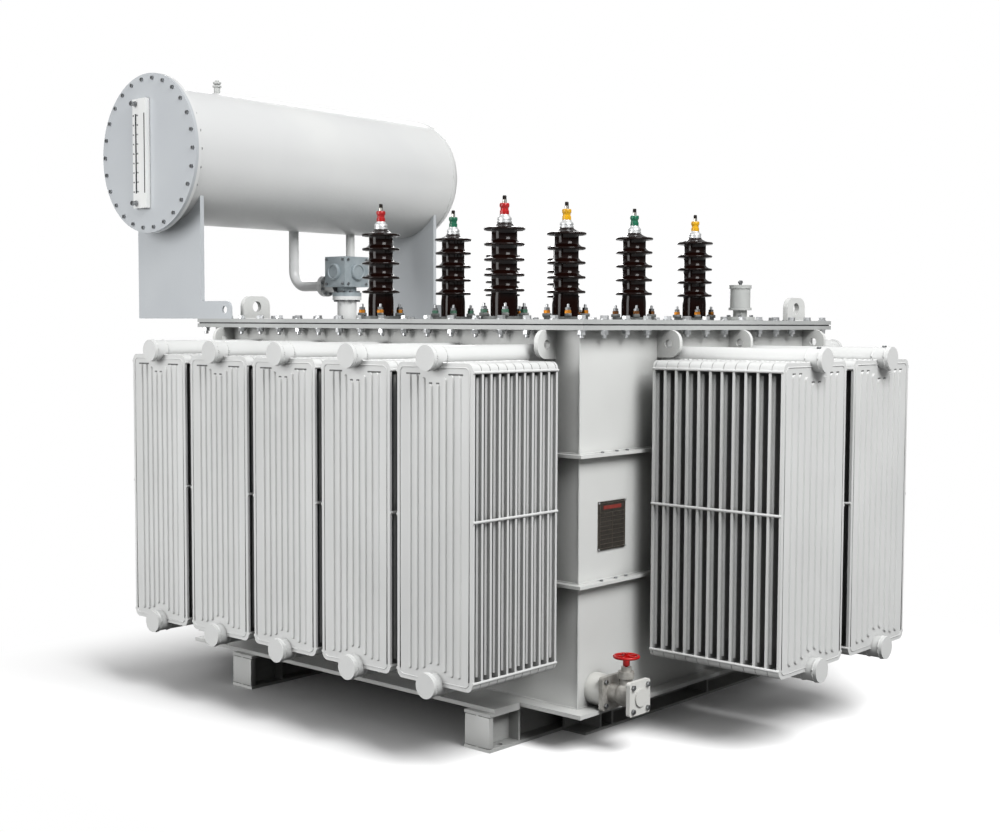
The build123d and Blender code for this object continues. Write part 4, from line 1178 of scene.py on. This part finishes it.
def make_valve_bolts(bm):
    faces = ((stub_high.x + FLANGE_THICKNESS, RIGHT), (stub_high.x, LEFT),
             (blind_low.x + FLANGE_THICKNESS, RIGHT), (blind_low.x, LEFT))
    for y in (valve_y - FLANGE_BOLT, valve_y + FLANGE_BOLT):
        for z in (valve_z - FLANGE_BOLT, valve_z + FLANGE_BOLT):
            for x, axis in faces:
                hexagon(bm, seat((x, y, z), axis), M16_FLATS, M16_NUT)


def make_wheel_nut(bm):
    middle = (wheel_low + wheel_high) / 2
    top = Vector((middle.x, middle.y, wheel_high.z))
    washer(bm, seat(top), STEM_WASHER, STEM_WASHER_HEIGHT)
    hexagon(bm, seat(top + STEM_WASHER_HEIGHT * UP), M12_FLATS, M12_NUT)


def plate_strip(bm, y_low, y_high, z_low, z_high):
    cuboid(bm, (name_high.x - PLATE_SUNK, y_low, z_low), (name_high.x + PLATE_RISE, y_high, z_high))


def make_plate_lines(bm):
    half = PLATE_LINE / 2
    y_0, y_1 = name_low.y + PLATE_BORDER, name_high.y - PLATE_BORDER
    z_0, z_1 = name_low.z + PLATE_BORDER, name_high.z - PLATE_BORDER
    fields_top = z_1 - PLATE_TITLE
    for y in (y_0, y_1):
        plate_strip(bm, y - half, y + half, z_0, z_1)
    for z in [z_0, z_1] + spaced(z_0, fields_top, (fields_top - z_0) / PLATE_ROWS)[1:]:
        plate_strip(bm, y_0, y_1, z - half, z + half)
    middle = (y_0 + y_1) / 2
    plate_strip(bm, middle - half, middle + half, z_0, fields_top)


def make_plate_title(bm):
    top = name_high.z - PLATE_BORDER - TITLE_DROP
    plate_strip(bm, name_low.y + TITLE_INSET, name_high.y - TITLE_INSET, top - TITLE_HEIGHT, top)


def make_plate_screws(bm):
    for y in (name_low.y + SCREW_INSET_Y, name_high.y - SCREW_INSET_Y):
        for z in (name_low.z + SCREW_INSET_Z, name_high.z - SCREW_INSET_Z):
            lathe(bm, SCREW, seat((name_high.x, y, z), RIGHT), 12)


piece("valve_bolts", make_valve_bolts, "dull_bolt")
piece("wheel_nut", make_wheel_nut, "wheel_red", body="handwheel")
piece("nameplate_lines", make_plate_lines, "plate_line")
piece("nameplate_title_strip", make_plate_title, "plate_red")
piece("nameplate_screws", make_plate_screws, "zinc")
print("valve at", round(valve_y, 3), round(valve_z, 3))

# %% [markdown]
# ## The floor and the world
#
# The photograph has a plain white sweep and a soft shadow under the part. The floor is a matt white sheet.
# The camera sees it much brighter than it lights the part, so that only the shadow shows,
# and it fades to plain white with distance from the tank and its radiators.
# The world behind it is white to the camera. For light, the world is a dome that is bright overhead
# and dim at the horizon, so the gap under the tank stays dark.

# %% Floor and world
FLOOR_GAIN = 0.95
FLOOR_BOUNCE = 0.14
FLOOR_HALF = 40.0
FADE_START = 0.0
FADE_END = 1.25
DOME_HEIGHT = 0.7
DOME_LOW = 0.04
DOME_HIGH = 0.70
WHITE = linear("#FFFFFF")


def floor_material():
    material, tree, output = blank_material("matt_white_floor")
    place = add(tree, "ShaderNodeTexCoord").outputs["Object"]
    low_x, high_x, half_y = tank_low.x, cad_box[1][0], cad_box[1][1]
    steps = (("SUBTRACT", ((low_x + high_x) / 2, 0, 0)), ("ABSOLUTE", (0, 0, 0)),
             ("SUBTRACT", ((high_x - low_x) / 2, half_y, 0)), ("MAXIMUM", (0, 0, 0)))
    for operation, vector in steps:
        step = add(tree, "ShaderNodeVectorMath", settings={"operation": operation}, values={1: vector},
                   links={0: place})
        place = step.outputs["Vector"]
    distance = add(tree, "ShaderNodeVectorMath", settings={"operation": "LENGTH"}, links={0: place})
    fade = add(tree, "ShaderNodeMapRange", settings={"interpolation_type": "SMOOTHSTEP"},
               values={"From Min": FADE_START, "From Max": FADE_END},
               links={"Value": distance.outputs["Value"]})
    rays = add(tree, "ShaderNodeLightPath")
    seen = add(tree, "ShaderNodeMath", settings={"operation": "ADD", "use_clamp": True},
               links={0: rays.outputs["Is Camera Ray"], 1: rays.outputs["Is Glossy Ray"]})
    share = add(tree, "ShaderNodeMath", settings={"operation": "MULTIPLY"},
                links={0: fade.outputs["Result"], 1: seen.outputs["Value"]})
    tone = add(tree, "ShaderNodeMapRange", values={"To Min": FLOOR_BOUNCE, "To Max": FLOOR_GAIN},
               links={"Value": rays.outputs["Is Camera Ray"]})
    matt = add(tree, "ShaderNodeBsdfDiffuse", values={"Roughness": 1.0},
               links={"Color": tone.outputs["Result"]})
    white = add(tree, "ShaderNodeEmission", values={"Color": WHITE, "Strength": 1.0})
    mix = add(tree, "ShaderNodeMixShader",
              links={0: share.outputs["Value"], 1: matt.outputs["BSDF"], 2: white.outputs["Emission"]})
    tree.links.new(mix.outputs["Shader"], output.inputs["Surface"])
    return material


floor_mesh = bpy.data.meshes.new("floor")
floor_mesh.from_pydata([(x, y, 0) for x, y in ((-1, -1), (1, -1), (1, 1), (-1, 1))], [], [(0, 1, 2, 3)])
floor_mesh.transform(Matrix.Scale(FLOOR_HALF, 4))
floor = bpy.data.objects.new("floor", floor_mesh)
bpy.context.scene.collection.objects.link(floor)
floor_mesh.materials.append(floor_material())

world = bpy.data.worlds.new("studio")
world.use_nodes = True
bpy.context.scene.world = world
sky = world.node_tree
sky.nodes.clear()
paths = add(sky, "ShaderNodeLightPath")
seen = add(sky, "ShaderNodeMath", settings={"operation": "ADD", "use_clamp": True},
           links={0: paths.outputs["Is Camera Ray"], 1: paths.outputs["Is Transmission Ray"]})
height = add(sky, "ShaderNodeSeparateXYZ", links={0: add(sky, "ShaderNodeTexCoord").outputs["Generated"]})
dome = add(sky, "ShaderNodeMapRange", links={"Value": height.outputs["Z"]},
           values={"From Max": DOME_HEIGHT, "To Min": DOME_LOW, "To Max": DOME_HIGH})
fill = add(sky, "ShaderNodeBackground", values={"Color": WHITE}, links={"Strength": dome.outputs["Result"]})
plain = add(sky, "ShaderNodeBackground", values={"Color": WHITE, "Strength": 1.0})
both = add(sky, "ShaderNodeMixShader", links={0: seen.outputs["Value"], 1: fill.outputs["Background"],
                                              2: plain.outputs["Background"]})
add(sky, "ShaderNodeOutputWorld", links={"Surface": both.outputs["Shader"]})
print("floor and world made")

# %% [markdown]
# ## The lamps
#
# A large soft lamp stands high on the right, a fill stands lower on the left and reaches under the
# radiators, and a weak lamp behind keeps the back from going dark.
# The two fills are flagged off the floor, as a studio does, so that they don't wash out the shadow.

# %% Lamps
MIDDLE = Vector((0, 0, 1.5))
off_floor = bpy.data.collections.new("lamps_off_the_floor")
off_floor.objects.link(floor)
off_floor.collection_objects[0].light_linking.link_state = "EXCLUDE"


def soft_lamp(name, place, size, power, on_floor=False):
    lamp = bpy.data.lights.new(name, "AREA")
    lamp.shape = "RECTANGLE"
    lamp.size, lamp.size_y = size
    lamp.energy = power
    item = bpy.data.objects.new(name, lamp)
    item.location = place
    item.rotation_euler = (MIDDLE - Vector(place)).to_track_quat("-Z", "Y").to_euler()
    bpy.context.scene.collection.objects.link(item)
    if not on_floor:
        item.light_linking.receiver_collection = off_floor


soft_lamp("key", (8.0, -2.4, 8.0), (5.0, 5.0), 1060, on_floor=True)
soft_lamp("front_fill", (-3.0, -9.0, 3.6), (4.0, 6.0), 530)
soft_lamp("back_fill", (-7.5, 6.5, 5.0), (5.0, 5.0), 420)
print("lamps placed")

# %% [markdown]
# ## The camera
#
# The photograph was taken from the front right corner, about level with the cover.
# Place, turn and lens were worked out from the corners of the tank, the skids and the radiators.

# %% Camera
CAMERA_PLACE = (5.6826, -6.5331, 2.0859)
CAMERA_TURN = math.radians(41.60)
CAMERA_DIP = math.radians(3.70)
CAMERA_ROLL = math.radians(0.23)
PHOTO_WIDTH = 1000
FOCAL_PIXELS = 1446.86
SENSOR = 36.0
FAR_CLIP = 200
lens = bpy.data.cameras.new("photo_camera")
lens.sensor_fit = "HORIZONTAL"
lens.sensor_width = SENSOR
lens.lens = FOCAL_PIXELS / PHOTO_WIDTH * SENSOR
lens.clip_end = FAR_CLIP
camera = bpy.data.objects.new("photo_camera", lens)
camera.matrix_world = (Matrix.Translation(CAMERA_PLACE) @ Matrix.Rotation(CAMERA_TURN, 4, "Z")
                       @ Matrix.Rotation(math.pi / 2 - CAMERA_DIP, 4, "X")
                       @ Matrix.Rotation(CAMERA_ROLL, 4, "Z"))
bpy.context.scene.collection.objects.link(camera)
bpy.context.scene.camera = camera
bpy.context.scene.view_settings.view_transform = "Standard"
print("lens", round(lens.lens, 2), "mm")
